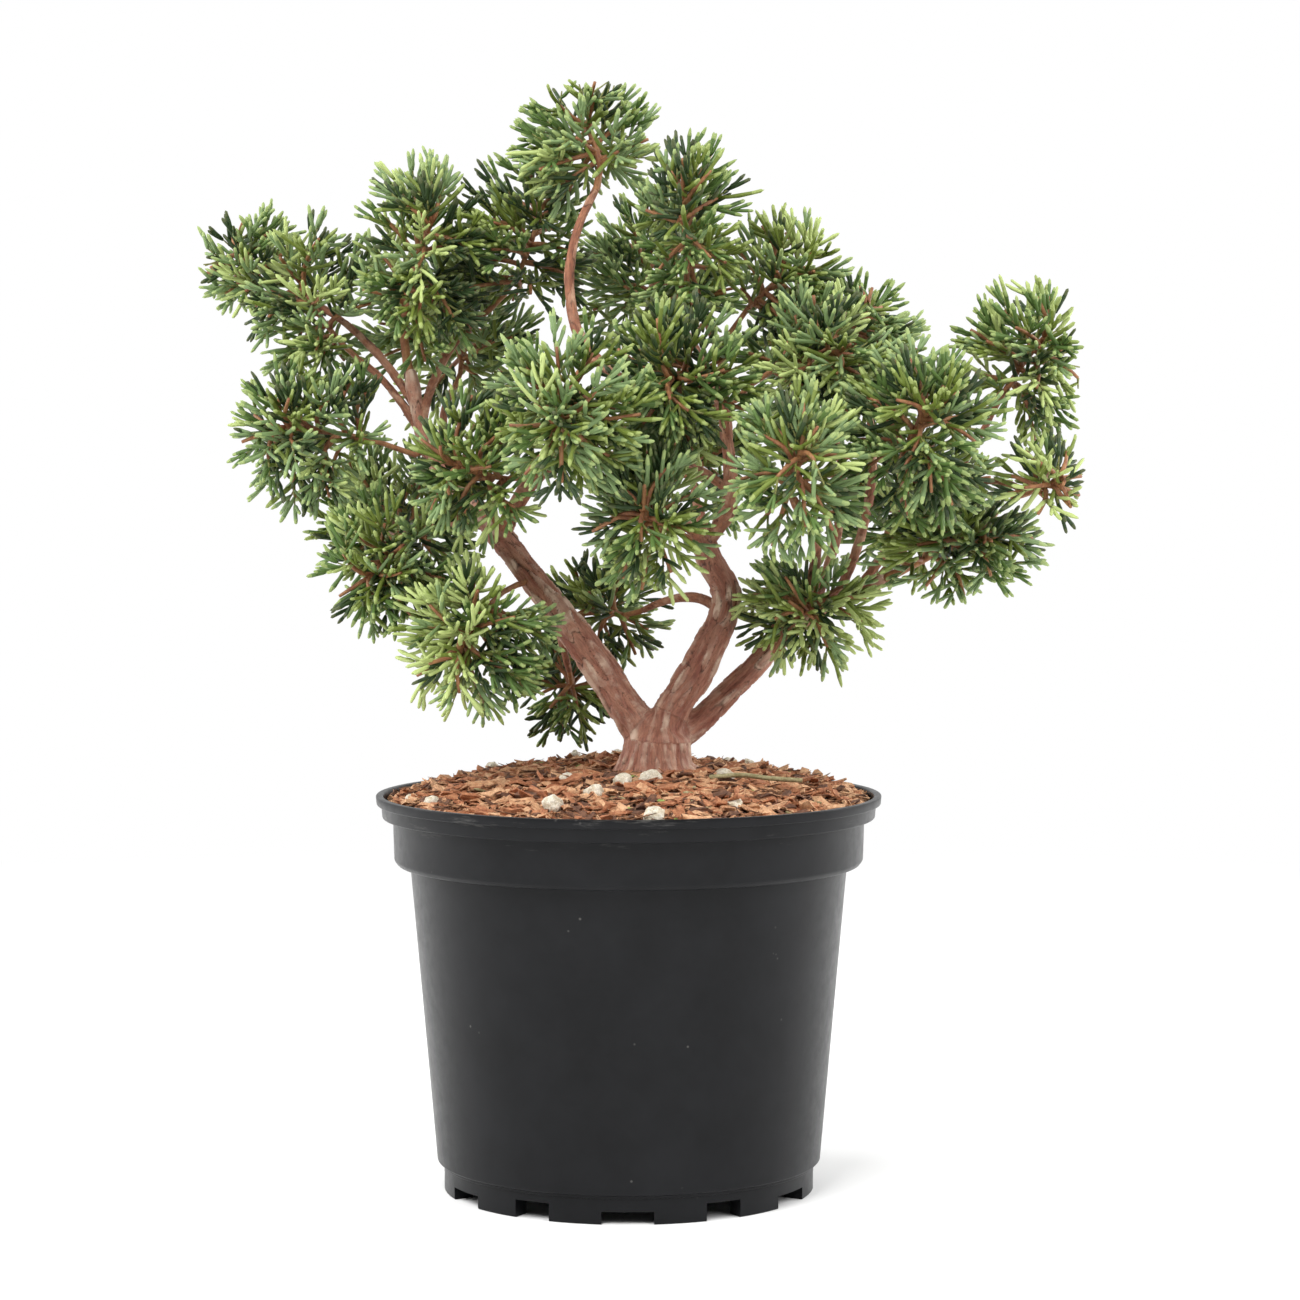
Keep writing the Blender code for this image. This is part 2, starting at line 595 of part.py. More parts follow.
def grow_mass(mass, masses, taken, seed):
    """The twigs of a mass with their sprigs, as (route, sprigs), each sprig as (root, way, side, length)."""
    rng = random.Random(seed)
    stem = mass.stem[0]
    ways, across = side_ways(stem)
    axis = unit(stem[-1] - stem[0])
    side = across[-1]
    other = np.cross(axis, side)
    turn = rng.uniform(0, 2 * math.pi)
    centre, reach = np.array(mass.centre), np.array(mass.radii)
    for index in range(mass.twigs):
        forward = 0.96 - 1.5 * index / (mass.twigs - 1)
        angle = turn + index * GOLDEN_ANGLE
        out = math.sqrt(1 - forward**2)
        aim = unit(forward * axis + out * (math.cos(angle) * side + math.sin(angle) * other))
        end = centre + reach * aim * rng.uniform(0.93, 0.99)
        leaves = round((len(stem) - 1) * min(1.0, 0.40 + 0.4 * (forward + 0.54)))
        leaves = max(leaves, min(FIRST_TWIG, len(stem) - 1))
        start = stem[leaves]
        run = np.linalg.norm(end - start)
        control = start + run * (0.38 * ways[leaves] + 0.25 * unit(end - start) - mass.lift * UP)
        route = bent_route(start, control, end)
        route = own_part(mass, masses, route, taken)
        if len(route) * ROUTE_STEP < SHORTEST_TWIG:
            continue
        route = faceted(route, TWIG_SPACING)
        mass.shoots.append((route, grow_sprigs(mass, masses, route, taken, rng)))


def own_part(mass, masses, route, taken):
    """The start of a twig, up to where it would leave the mass's space."""
    for index in range(3, len(route)):
        if not keeps_space(mass, masses, route[index : index + 1], 0.6 * CORE_RADII[1], taken):
            return route[:index]
    return route


def grow_sprigs(mass, masses, route, taken, rng):
    """Sprigs round the outer part of a twig by golden-angle steps, with one at its tip."""
    ways, across = side_ways(route)
    length = (len(route) - 1) * ROUTE_STEP
    sprigs = []
    angle = rng.uniform(0, 2 * math.pi)
    along = max(SPRIG_BARE * length, 0.006)
    while along < length - 0.004:
        index = min(len(route) - 1, round(along / ROUTE_STEP))
        angle += GOLDEN_ANGLE
        other = np.cross(ways[index], across[index])
        out = math.cos(angle) * across[index] + math.sin(angle) * other
        open_by = math.radians(SPRIG_ANGLE + rng.uniform(-8, 8))
        way = unit(math.cos(open_by) * ways[index] + math.sin(open_by) * out + 0.15 * mass.lift * UP)
        size = SPRIG_LENGTH * rng.uniform(0.85, 1.1) * (1.15 - 0.45 * along / length)
        add_sprig(sprigs, mass, masses, taken, route[index] - way * 0.0009, way, out, size)
        along += SPRIG_STEP * rng.uniform(0.85, 1.15)
    way = ways[-1]
    add_sprig(sprigs, mass, masses, taken, route[-1] - way * 0.003, way, across[-1], SPRIG_LENGTH)
    return sprigs


def add_sprig(sprigs, mass, masses, taken, root, way, side, length):
    """Adds a sprig, shortened if need be to stay in its mass's space, or none."""
    side = unit(side - way * side.dot(way))
    for share in (1.0, 0.8, 0.62):
        shares = np.linspace(0.3, 1.0, SAMPLES)[:, None]
        points = root + way * length * share * shares
        if keeps_space(mass, masses, points, SPRIG_RADIUS * 0.8, taken):
            sprigs.append((root, way, side, length * share))
            return


def grow_all(limbs, masses):
    """Grows every mass, keeping each clear of the limbs, the other stems and the masses before it."""
    wood = [(limb.route, limb.radii) for limb in limbs.values()]
    for index, mass in enumerate(masses):
        others = [other.stem for other in masses if other is not mass]
        grown = [
            (points, np.full(len(points), radius))
            for done in masses[:index]
            for points, radius in samples(done)
        ]
        parts = wood + others + grown
        taken = (np.vstack([part[0] for part in parts]), np.concatenate([part[1] for part in parts]))
        grow_mass(mass, masses, taken, SEED * 100 + index)


def samples(mass):
    """Points along all the twigs and sprigs of a grown mass, with their radii."""
    for route, sprigs in mass.shoots:
        yield route, CORE_RADII[1]
        for root, way, _, length in sprigs:
            yield root + way * length * np.linspace(0.1, 1, 10)[:, None], SPRIG_RADIUS * 0.9


def make_limb(limb, look):
    places = spaced(limb.route, LIMB_SPACING, LEAD)
    made = mesh_object(limb.name, tube(limb.route[places], limb.radii[places], limb.sides), look)
    collars = []
    for route, radii, sides in limb.collars:
        ends = (0, len(route) - 1 - LEAD, len(route) - 1)
        collars.append(mesh_object("collar", tube(route[list(ends)], radii[list(ends)], sides)))
    if collars:
        fuse(made, collars)
    shade(made, 50)


def make_trunk(limb, look):
    places = spaced(limb.route, TRUNK_SPACING, LEAD)
    share = places / places[-1]
    lobes = TRUNK_LOBE_DEPTH * (1 - share) ** 2
    made = mesh_object("trunk", tube(limb.route[places], limb.radii[places], limb.sides, lobes, UP), look)
    collars = []
    for route, radii, sides in limb.collars:
        ends = spaced(route, LIMB_SPACING / 3)
        collars.append(mesh_object("collar", tube(route[ends], radii[ends], sides)))
    fuse(made, collars)
    shade(made, 50)


def make_mass(mass, look):
    route, radii = mass.stem
    places = spaced(route, STEM_SPACING, LEAD)
    made = mesh_object(mass.name, tube(route[places], radii[places], 4), look)
    parts = []
    for twig, sprigs in mass.shoots:
        places = spaced(twig, TWIG_SPACING)
        thick = np.interp(places / places[-1], CORE_SHARES, CORE_RADII)
        parts.append(mesh_object("twig", tube(twig[places], thick, 3)))
        for root, way, side, length in sprigs:
            parts.append(mesh_object("sprig", spindle(root, way, side, length, SPRIG_RADIUS)))
    fuse(made, parts)
    drop_scraps(made)


def drop_scraps(made):
    """Leaves only the largest body of the mesh."""
    bm = bmesh.new()
    bm.from_mesh(made.data)
    left = set(bm.verts)
    bodies = []
    while left:
        found = {left.pop()}
        edge = list(found)
        while edge:
            near = {link.other_vert(vert) for vert in edge for link in vert.link_edges} - found
            found |= near
            edge = list(near)
        left -= found
        bodies.append(found)
    largest = max(bodies, key=len)
    bmesh.ops.delete(bm, geom=[vert for vert in bm.verts if vert not in largest], context="VERTS")
    bm.to_mesh(made.data)
    bm.free()


def main():
    clear_scene()
    make_pot()
    make_soil()
    limbs = lay_limbs()
    masses = list(MASSES)
    for mass in masses:
        lay_bough(limbs, mass)
    grow_all(limbs, masses)
    bark = material("bark", BARK_RED, 0.85)
    twig_bark = material("twig_bark", BARK_TWIG, 0.75)
    make_trunk(limbs.pop("trunk"), bark)
    for limb in limbs.values():
        make_limb(limb, twig_bark if limb.name.endswith("_bough") else bark)
    for mass in masses:
        make_mass(mass, material(mass.name + "_needles", GREENS[mass.green], 0.6))


main()
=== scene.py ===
"""The looks of a spreading juniper in a round nursery pot: bark, mulch, pot and sprays of scale leaves.

The foliage grows on from the limbs by the rule of the part's own solids, carried to finer twigs.
Lengths are in metres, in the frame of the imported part: the origin is under the pot's middle, +Z is up
and the front faces -Y.
"""

import math
import random
from dataclasses import dataclass, field
from functools import cache

import bmesh
import bpy
import numpy as np
from bpy.props import FloatProperty, FloatVectorProperty, IntProperty, PointerProperty
from mathutils import Matrix, Vector


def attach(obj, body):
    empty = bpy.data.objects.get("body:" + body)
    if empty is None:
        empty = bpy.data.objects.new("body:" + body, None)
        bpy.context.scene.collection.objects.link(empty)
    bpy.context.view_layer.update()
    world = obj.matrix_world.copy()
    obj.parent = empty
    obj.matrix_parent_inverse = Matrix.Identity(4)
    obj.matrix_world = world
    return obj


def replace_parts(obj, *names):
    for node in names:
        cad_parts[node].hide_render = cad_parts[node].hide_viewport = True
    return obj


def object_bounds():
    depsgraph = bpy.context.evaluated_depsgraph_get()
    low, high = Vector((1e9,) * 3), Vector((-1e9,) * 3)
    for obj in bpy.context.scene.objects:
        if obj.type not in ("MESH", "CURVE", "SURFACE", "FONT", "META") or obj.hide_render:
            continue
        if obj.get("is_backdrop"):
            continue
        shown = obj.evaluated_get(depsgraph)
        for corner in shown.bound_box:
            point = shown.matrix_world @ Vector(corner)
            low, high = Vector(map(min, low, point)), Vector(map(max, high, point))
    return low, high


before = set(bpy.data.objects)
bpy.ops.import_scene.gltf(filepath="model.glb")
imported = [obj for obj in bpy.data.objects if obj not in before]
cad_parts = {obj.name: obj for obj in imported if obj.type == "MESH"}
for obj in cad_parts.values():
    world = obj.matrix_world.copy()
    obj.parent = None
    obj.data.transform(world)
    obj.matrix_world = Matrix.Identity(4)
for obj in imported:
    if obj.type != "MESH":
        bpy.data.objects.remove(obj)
FRAME_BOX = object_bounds()

bl_info = {
    "name": "Potted juniper",
    "version": (1, 0, 0),
    "blender": (4, 5, 0),
    "location": "3D View > Sidebar > Juniper",
    "description": "Builds the visible surfaces of a potted juniper round its packed solids",
    "category": "Add Mesh",
}

BODY = "root"

SEED = 7
CLEARANCE = 0.0003  # between two pieces that meet
TIP_CLEARANCE = 0.0005  # between a limb's tip and what grows on from it at a slant
GOLDEN_ANGLE = math.pi * (3 - math.sqrt(5))
UP = np.array((0.0, 0.0, 1.0))

# Pot: radii from its axis and heights above the ground
POT_HEIGHT = 0.1490
POT_WALL = 0.0015
RIM_RADIUS = 0.0950
RIM_HEIGHT = 0.0034
COLLAR_RADIUS = 0.0930
BAND_RADIUS = 0.0886
BAND_TOP = 0.1402
BAND_BOTTOM = 0.1230
BODY_TOP_RADIUS = 0.0822
BASE_RADIUS = 0.0723
FOOT_RADIUS = 0.0698
FOOT_HEIGHT = 0.0102
FOOT_RING_WIDTH = 0.0075
FLOOR_UNDERSIDE = 0.0072
FLOOR_TOP = 0.0095
EDGE_ROUND = 0.0009
POT_SHARP_ANGLE = 26
FOOT_UNITS = 6  # the foot ring repeats this often round the pot
GAP_WIDTH, GAP_HEIGHT = 0.0190, 0.0047
SLOT_WIDTH, SLOT_HEIGHT = 0.0142, 0.0066

# Mulch: it lies just under the rim at the wall and rises to the trunk
MULCH_EDGE = 0.1452
MULCH_TOP = 0.1570
MULCH_FLAT = 0.0290  # radius of its level middle

# Trunk: a short leaning stump with a flared foot
TRUNK_FOOT = (0.0102, 0.0, MULCH_TOP + CLEARANCE)
TRUNK_FORK = (0.0112, 0.0005, 0.1725)
TRUNK_RADII = (0.0172, 0.0143, 0.0131, 0.0124, 0.0088)

# Limbs
ROUTE_STEP = 0.001
SEAT_GAP = 0.0022  # a limb is cut off where it is this far out of its parent
KNOB = 0.05  # how far a limb's thickness wanders, as a share of it
LEAD = 2  # steps from a limb's foot to its second cross section, which keeps the first square to it
BOUGH_RADII = (0.0019, 0.0012)
STEM_RADII = (0.0012, 0.0008)
SHORTEST_BOUGH = 0.034
BOUGH_ENTERS = 0.85  # share of a mass's radii at which its bough ends

# Masses of foliage
STEM_REACH = 0.5
STEM_SPACING = 0.0120
TWIG_SPACING = 0.0130
CORE_RADIUS = 0.0046  # of the needles packed round a twig
SPRIG_LENGTH = 0.0200
SPRIG_RADIUS = 0.0038
SPRIG_STEP = 0.0115  # between sprigs along a twig
SPRIG_CUTS = (1.0, 0.8, 0.62)  # the lengths tried for a sprig, as shares of its first one
SPRIG_SUNK, LAST_SUNK = 0.0009, 0.003  # how far a sprig's root lies back in its twig, and the last one's
# Kinds of twig: how far forward the first points, how far back from that the last does, how far along the
# stem they leave it, and the least and most of the mass's radii that they reach
FIRST_TWIGS = (0.96, 1.5, 0.54, (0.93, 0.99))
FINER_TWIGS = (0.93, 1.65, 0.6, (0.72, 0.94))
LEAVES_STEM = (0.40, 0.4)  # where along its stem a twig leaves it, and how much further one ahead does
TWIG_BEND = (0.38, 0.25)  # shares of its length that a twig runs along its stem and then towards its end
SHORTEST_TWIG = 0.010
FIRST_TWIG = 7  # steps along a stem before the first twig leaves it
LEAF_GAP = 0.0007
SAMPLES = 6

# Finer growth, past what the solids hold
PLUME_POINTS = 5
PLUME_BEND = 0.22  # how far a plume curves towards its twig's way, as a share of its length
PLUME_REACH = 0.95  # how far out a plume's stalk may go, as a share of its mass's radii
WOOD_GAP = 0.0012  # least gap between a twig's middle and other wood
CORD_ANGLE = 50
CORD_SIDES = 4
CORD_SHARES = (0.0, 0.26, 0.52, 0.78, 0.94)  # where along a cord its rings of scales are
CORD_SWELL = (0.72, 1.0, 0.9, 1.02, 0.74)  # and how thick each is
CORD_BEND = 0.26
MOST_CORDS = 5000  # in one joined piece
STEM_SIDES, TWIG_SIDES, STALK_SIDES = 8, 5, 3
TWIG_THICK = (0.0011, 0.0006)
PLUME_THICK = (0.00055, 0.0003)
SHARING = 0.22  # how far a mass's finer growth reaches in among its neighbours, as a share of its radii
PROUD = 0.0015  # how far a cord may stand out of the solids' box

# The greens that sprays are dealt, the share of each in a mass of each green, and the finish each one takes;
# shade is painted shade, a dark green standing for the shadow inside the crown
NEEDLE_NAMES = ("glaucous", "green", "olive", "lime", "shade")
DEAL = {
    "blue": (0.56, 0.20, 0.10, 0.09, 0.05),
    "mid": (0.30, 0.38, 0.16, 0.07, 0.09),
    "yellow": (0.16, 0.20, 0.20, 0.42, 0.02),
    # the dark masses at the back of the crown lie in shade, so nearly half their sprays take the painted
    # shade green
    "dark": (0.08, 0.32, 0.12, 0.02, 0.46),
}
NEEDLE_SLOTS = {
    "glaucous": "needles_blue",
    "green": "needles_mid",
    "olive": "needles_yellow",
    "lime": "needles_yellow",
    "shade": "needles_dark",
}

# Finishes in patches: two colours, roughness, patches to a metre, how sharp their edges are, bump and stretch
PATCHED = {
    "pale_chips": ((0.500, 0.240, 0.120), (0.760, 0.460, 0.260), 0.84, 420, 4.0, 0.5),
    "red_chips": ((0.330, 0.115, 0.050), (0.540, 0.240, 0.115), 0.84, 420, 4.0, 0.5),
    "dark_chips": ((0.085, 0.038, 0.022), (0.200, 0.088, 0.048), 0.84, 420, 4.0, 0.5),
    "bark_threads": ((0.090, 0.040, 0.022), (0.380, 0.180, 0.085), 0.9, 300),
    "mulch_bed": ((0.045, 0.020, 0.012), (0.220, 0.095, 0.048), 0.95, 260, 6.0, 0.9),
    "pumice": ((0.560, 0.470, 0.330), (0.860, 0.800, 0.680), 0.9, 500, 4.0, 0.6),
    "fallen_green": ((0.200, 0.330, 0.060), (0.330, 0.480, 0.120), 0.55, 300),
    "fallen_dry": ((0.230, 0.190, 0.080), (0.400, 0.350, 0.190), 0.8, 300),
    "twig_skin": ((0.240, 0.085, 0.035), (0.360, 0.170, 0.065), 0.6, 300, 4.0, 0.2, (1, 1, 0.5)),
    "green_stalk": ((0.150, 0.150, 0.035), (0.240, 0.250, 0.065), 0.6, 300, 4.0, 0.1),
}
FINER = 5.0  # how much finer the grain in the patches is than they are
SHADING = (0.62, 1.12)  # what the grain does to their colours, least and most

# Bark: its colour in cracks, the two of its peeled face, that of its flakes, and patches to a metre
OLD_BARK = ((0.04, 0.018, 0.012), ((0.27, 0.092, 0.06), (0.43, 0.2, 0.13)), (0.62, 0.46, 0.35), 330)
YOUNG_BARK = ((0.05, 0.02, 0.012), ((0.21, 0.07, 0.036), (0.36, 0.15, 0.08)), (0.48, 0.29, 0.19), 420)
BARK_WAVES = (  # plates, flakes, ridges and lumps: waves in each, and its size across and along the wood
    (26, 0.0062, 0.020),
    (26, 0.0034, 0.011),
    (20, 0.0016, 0.012),
    (8, 0.016, 0.022),
)
STOUT = ("trunk", "left_limb", "centre_limb", "right_limb")  # what is welded into one fork
LIMB_SIDES, BOUGH_SIDES, WELD_SIDES = 32, 14, 24
GRAIN_STEP = 0.001
DEPTH_SHARE = 0.13  # the most of a limb's radius that its relief takes
FORK_SWELL = 0.16  # how much thicker the limbs are at their roots
FORK_SPREAD = 0.018
FORK_SMOOTHING = 14
FORK_BLEND = 0.0050  # over what distance the bark of one limb passes into that of the next
LIMB_SHIFT = 0.5  # keeps the bark of each limb apart from the others'

# What lies on the mulch
MULCH_REACH = COLLAR_RADIUS - POT_WALL - CLEARANCE
BED_DROP = 0.0008  # how far the bed lies under the tops of the chips
PILE_HEIGHT = 0.0042
PILE_LEAN = 0.018  # how much more of it lies to the right
PILE_SLOPE = 0.006
BED_SIDES, BED_RINGS = 190, 70
BED_WAVES = ((0.00045, 26, 0.005), (0.0003, 20, 0.002))  # height, waves and size of its lumps
TRUNK_ROOM = 0.0160  # nothing lies nearer than this to the trunk's middle
CHIP_WIDTH = ((0.14, 0.5), (0.0006, 0.0055))  # share of a chip's length, and the least and most
CHIP_THICK = ((0.18, 0.5), (0.0004, 0.0018))  # share of its width, and the least and most
CHIP_RISE = 0.0005  # how far chips lie over the mound
CHIP_TILT, CHIP_ROLL = 0.2, 0.45
SHORTEST_CHIP = 0.003
THREADS = ((0.006, 0.022), (0.0002, 0.00045), 4)  # lengths, radii and sides
FALLEN = ((0.003, 0.008), (0.0005, 0.0008), 5)
CHIP_KINDS = {"pale_chips": 0.40, "red_chips": 0.40, "dark_chips": 0.20}
STONE_PLACES = (
    (-0.012, -0.055), (-0.002, -0.040), (0.008, -0.036), (0.036, -0.018), (0.038, -0.062), (-0.072, -0.034),
)
FALLEN_TWIG = (
    (0.030, -0.030, 0.1580), (0.042, -0.026, 0.1584), (0.052, -0.030, 0.1576), (0.066, -0.029, 0.1566),
)
FALLEN_TWIG_RADIUS = 0.0009

# The floor: half its side, and where its look fades to white; lamps: name, place, side and watts; the camera
FLOOR_SIZE = 6.0
FLOOR_FADE = (0.45, 1.10)
LAMPS = (
    ("key", (-0.60, -1.05, 1.45), 1.0, 30.0),
    ("fill", (1.10, -0.85, 1.05), 1.0, 15.0),
    ("left_edge", (-1.30, 0.25, 0.60), 0.8, 12.0),
    ("right_edge", (1.25, 0.45, 0.60), 0.8, 10.0),
)
LAMP_AIM = (0, 0, 0.22)
FRONT = (-0.70, -0.25)  # between these parts of its Y the surround passes from its front to its full strength
FRONT_SHARE = 0.14
CAMERA_PLACE = (0.0080, -1.350, 0.284)
CAMERA_DIP = 3.43  # degrees below level
CAMERA_SENSOR = 36.0


@dataclass
class Limb:
    """A tapering limb along its own middle line."""

    route: np.ndarray
    radii: np.ndarray
    whole: tuple = None  # its route and radii from its parent's middle line on, uncut


@dataclass
class Mass:
    """One mass of foliage: the ellipsoid that it keeps to, and where on which limb it grows from."""

    name: str
    limb: str
    place: float
    centre: tuple
    radii: tuple
    green: str
    twigs: int
    lift: float = 0.15  # how far its twigs turn up, or down where it is negative
    stem: object = None
    shoots: list = field(default_factory=list)


@dataclass
class ShootKind:
    """How shoots stand round a twig."""

    angle: tuple  # degrees from the twig's way, and how far that wanders
    lift: float  # how much they take of the lift of their mass
    sizes: tuple  # the least and most of their length
    taper: float  # how much of it is lost towards the twig's tip
    steps: tuple  # the least and most of the step between them
    bare: tuple  # share of the twig before the first, the least length of that, and what is kept at the tip


SPRIGS = ShootKind((42, 8), 0.15, (0.85, 1.10), 0.45, (0.85, 1.15), (0.30, 0.006, 0.004))
PLUMES = ShootKind((41, 10), 0.30, (0.72, 1.15), 0.50, (0.80, 1.20), (0.18, 0.0, 0.0))


# The limbs that show: name, parent, share of the parent's length, points, radii at both ends
LIMBS = (
    ("left_limb", "trunk", 0.50,
     ((0.0025, 0.000, 0.1765), (-0.0125, 0.000, 0.1985), (-0.0315, 0.005, 0.2235),
      (-0.0505, 0.012, 0.2475), (-0.0755, 0.025, 0.2780), (-0.0840, 0.030, 0.3080)),
     (0.0072, 0.0026)),
    ("centre_limb", "trunk", 0.55,
     ((0.0160, 0.001, 0.1800), (0.0275, 0.000, 0.1985), (0.0352, 0.002, 0.2155),
      (0.0366, 0.004, 0.2260), (0.0315, 0.005, 0.2360), (0.0268, 0.005, 0.2470)),
     (0.0067, 0.0048)),
    ("right_limb", "trunk", 0.48,
     ((0.0235, 0.005, 0.1735), (0.0440, 0.010, 0.1925), (0.0560, 0.014, 0.2055),
      (0.0725, 0.016, 0.2180), (0.0870, 0.012, 0.2240), (0.0970, 0.002, 0.2300)),
     (0.0053, 0.0026)),
    ("centre_stem", "centre_limb", 0.93,
     ((0.0375, 0.002, 0.2560), (0.0378, -0.001, 0.2700), (0.0355, -0.005, 0.2960),
      (0.0345, -0.008, 0.3120), (0.0275, -0.012, 0.3300)),
     (0.0030, 0.0016)),
    ("leader_foot", "left_limb", 0.52,
     ((-0.0380, 0.002, 0.2640), (-0.0255, -0.015, 0.2775), (-0.0080, -0.034, 0.2836),
      (0.0010, -0.043, 0.2838)),
     (0.0031, 0.0028)),
    ("leader", "leader_foot", 1.0,
     ((0.0080, -0.0500, 0.2895), (0.0050, -0.049, 0.2965), (-0.0045, -0.042, 0.3050),
      (-0.0150, -0.033, 0.3155), (-0.0205, -0.026, 0.3280), (-0.0215, -0.019, 0.3460),
      (-0.0180, -0.012, 0.3620), (-0.0125, -0.005, 0.3740)),
     (0.0026, 0.0015)),
)

# Masses: name, limb, share of its length, centre, radii, green, twigs, lift; the dark green, given to masses
# at the back, is painted shade
MASSES = tuple(Mass(*row) for row in (
    ("left_crown", "left_limb", 1.0, (-0.077, 0.014, 0.346), (0.026, 0.030, 0.042), "blue", 6, 0.25),
    ("left_tip", "left_limb", 0.90, (-0.147, 0.065, 0.349), (0.021, 0.020, 0.021), "blue", 5, 0.30),
    ("left_shoulder", "left_limb", 0.82, (-0.118, 0.045, 0.331), (0.028, 0.030, 0.036), "blue", 5),
    ("left_outer", "left_limb", 0.74, (-0.117, 0.010, 0.283), (0.031, 0.028, 0.029), "blue", 5, 0.05),
    ("left_low", "left_limb", 0.60, (-0.086, -0.010, 0.237), (0.028, 0.028, 0.027), "mid", 5, 0.0),
    ("left_hanging", "left_limb", 0.38, (-0.056, -0.035, 0.209), (0.028, 0.024, 0.028), "yellow", 5, -0.2),
    ("left_inner", "centre_stem", 0.14, (-0.052, -0.035, 0.272), (0.026, 0.024, 0.029), "mid", 5),
    ("left_back_high", "left_limb", 0.70, (-0.070, 0.082, 0.322), (0.035, 0.036, 0.035), "blue", 5),
    ("left_back_low", "left_limb", 0.50, (-0.088, 0.068, 0.252), (0.036, 0.036, 0.029), "mid", 5, 0.0),
    ("leader_top", "leader", 1.0, (-0.016, 0.006, 0.392), (0.026, 0.022, 0.026), "blue", 6, 0.3),
    ("leader_back", "left_limb", 0.86, (-0.042, 0.027, 0.354), (0.027, 0.028, 0.036), "dark", 5, 0.25),
    ("leader_tuft", "leader", 0.36, (-0.020, -0.082, 0.292), (0.027, 0.027, 0.031), "blue", 5, 0.1),
    ("centre_spire", "centre_stem", 1.0, (0.023, -0.021, 0.354), (0.018, 0.022, 0.040), "mid", 6, 0.3),
    ("centre_heart", "centre_stem", 0.62, (0.018, -0.056, 0.302), (0.028, 0.028, 0.030), "mid", 5),
    ("centre_hanging", "centre_limb", 0.86, (0.009, -0.066, 0.254), (0.023, 0.022, 0.029), "blue", 5, -0.1),
    ("back_low", "centre_limb", 0.50, (-0.008, 0.046, 0.217), (0.023, 0.022, 0.021), "dark", 5, -0.1),
    ("back_hanging", "left_limb", 0.24, (-0.024, 0.054, 0.186), (0.016, 0.018, 0.023), "dark", 4, -0.3),
    ("back_high", "centre_stem", 0.40, (0.010, 0.074, 0.345), (0.034, 0.034, 0.038), "blue", 5, 0.2),
    ("back_middle", "centre_limb", 0.72, (0.022, 0.090, 0.275), (0.036, 0.030, 0.034), "mid", 5, 0.0),
    ("right_spire", "centre_stem", 0.78, (0.057, -0.005, 0.339), (0.021, 0.024, 0.025), "mid", 5, 0.3),
    ("right_notch", "right_limb", 0.72, (0.089, 0.020, 0.323), (0.015, 0.018, 0.019), "mid", 4, 0.3),
    ("right_upper", "centre_stem", 0.50, (0.068, -0.040, 0.309), (0.028, 0.028, 0.026), "blue", 5),
    ("right_front", "right_limb", 0.50, (0.060, -0.092, 0.270), (0.023, 0.028, 0.030), "blue", 5, 0.0),
    ("right_outer", "right_limb", 0.80, (0.103, -0.072, 0.283), (0.029, 0.030, 0.033), "blue", 6, 0.1),
    ("right_far", "right_limb", 0.92, (0.145, -0.030, 0.309), (0.023, 0.025, 0.029), "yellow", 5, 0.25),
    ("right_tip", "right_far_bough", 0.40, (0.149, -0.062, 0.267), (0.016, 0.018, 0.014), "yellow", 4, 0.1),
    ("right_low", "right_limb", 1.0, (0.119, -0.028, 0.243), (0.032, 0.030, 0.019), "mid", 5, 0.0),
    ("right_hanging", "right_limb", 0.66, (0.067, -0.012, 0.218), (0.026, 0.022, 0.021), "yellow", 5, -0.3),
    ("right_back_high", "right_limb", 0.60, (0.082, 0.072, 0.313), (0.036, 0.036, 0.033), "blue", 5),
    ("right_back_low", "right_limb", 0.86, (0.112, 0.060, 0.255), (0.036, 0.036, 0.030), "mid", 5, 0.0),
))


def unit(vector):
    return vector / np.linalg.norm(vector)


def smooth_route(points):
    """Evenly spaced points on a smooth curve through the given ones."""
    points = np.array(points, float)
    ends = np.vstack((2 * points[0] - points[1], points, 2 * points[-1] - points[-2]))
    fine = []
    for a, b, c, d in zip(ends, ends[1:], ends[2:], ends[3:]):
        t = np.linspace(0, 1, 24, endpoint=False)[:, None]
        square, cube = 2 * a - 5 * b + 4 * c - d, 3 * b - a - 3 * c + d
        fine.append(0.5 * (2 * b + (c - a) * t + square * t**2 + cube * t**3))
    return even_route(np.vstack((*fine, points[-1:])))


def bent_route(start, control, end):
    """Evenly spaced points from the start to the end, leaving the start towards the control."""
    t = np.linspace(0, 1, 60)[:, None]
    return even_route((1 - t) ** 2 * start + 2 * t * (1 - t) * control + t**2 * end)


def even_route(line, step=ROUTE_STEP):
    lengths = np.concatenate(([0], np.cumsum(np.linalg.norm(np.diff(line, axis=0), axis=1))))
    count = max(3, round(lengths[-1] / step) + 1)
    wanted = np.linspace(0, lengths[-1], count)
    return np.stack([np.interp(wanted, lengths, line[:, axis]) for axis in range(3)], axis=1)


def tangents(route):
    ways = np.gradient(route, axis=0)
    return ways / np.linalg.norm(ways, axis=1)[:, None]


def side_ways(route):
    """A way square to the route at each point, turning as little as it can."""
    ways = tangents(route)
    side = unit(np.cross(ways[0], (0.31, 0.87, 0.39)))
    found = []
    for way in ways:
        side = unit(side - way * side.dot(way))
        found.append(side)
    return ways, np.array(found)


def turned(angle, side, other):
    """The way at this angle from one way towards another, square to it."""
    return math.cos(angle) * side + math.sin(angle) * other


def ring(point, way, side, radius, sides):
    """The corners of a cross section, square to the way."""
    other = np.cross(way, side)
    return [point + radius * turned(2 * math.pi * index / sides, side, other) for index in range(sides)]


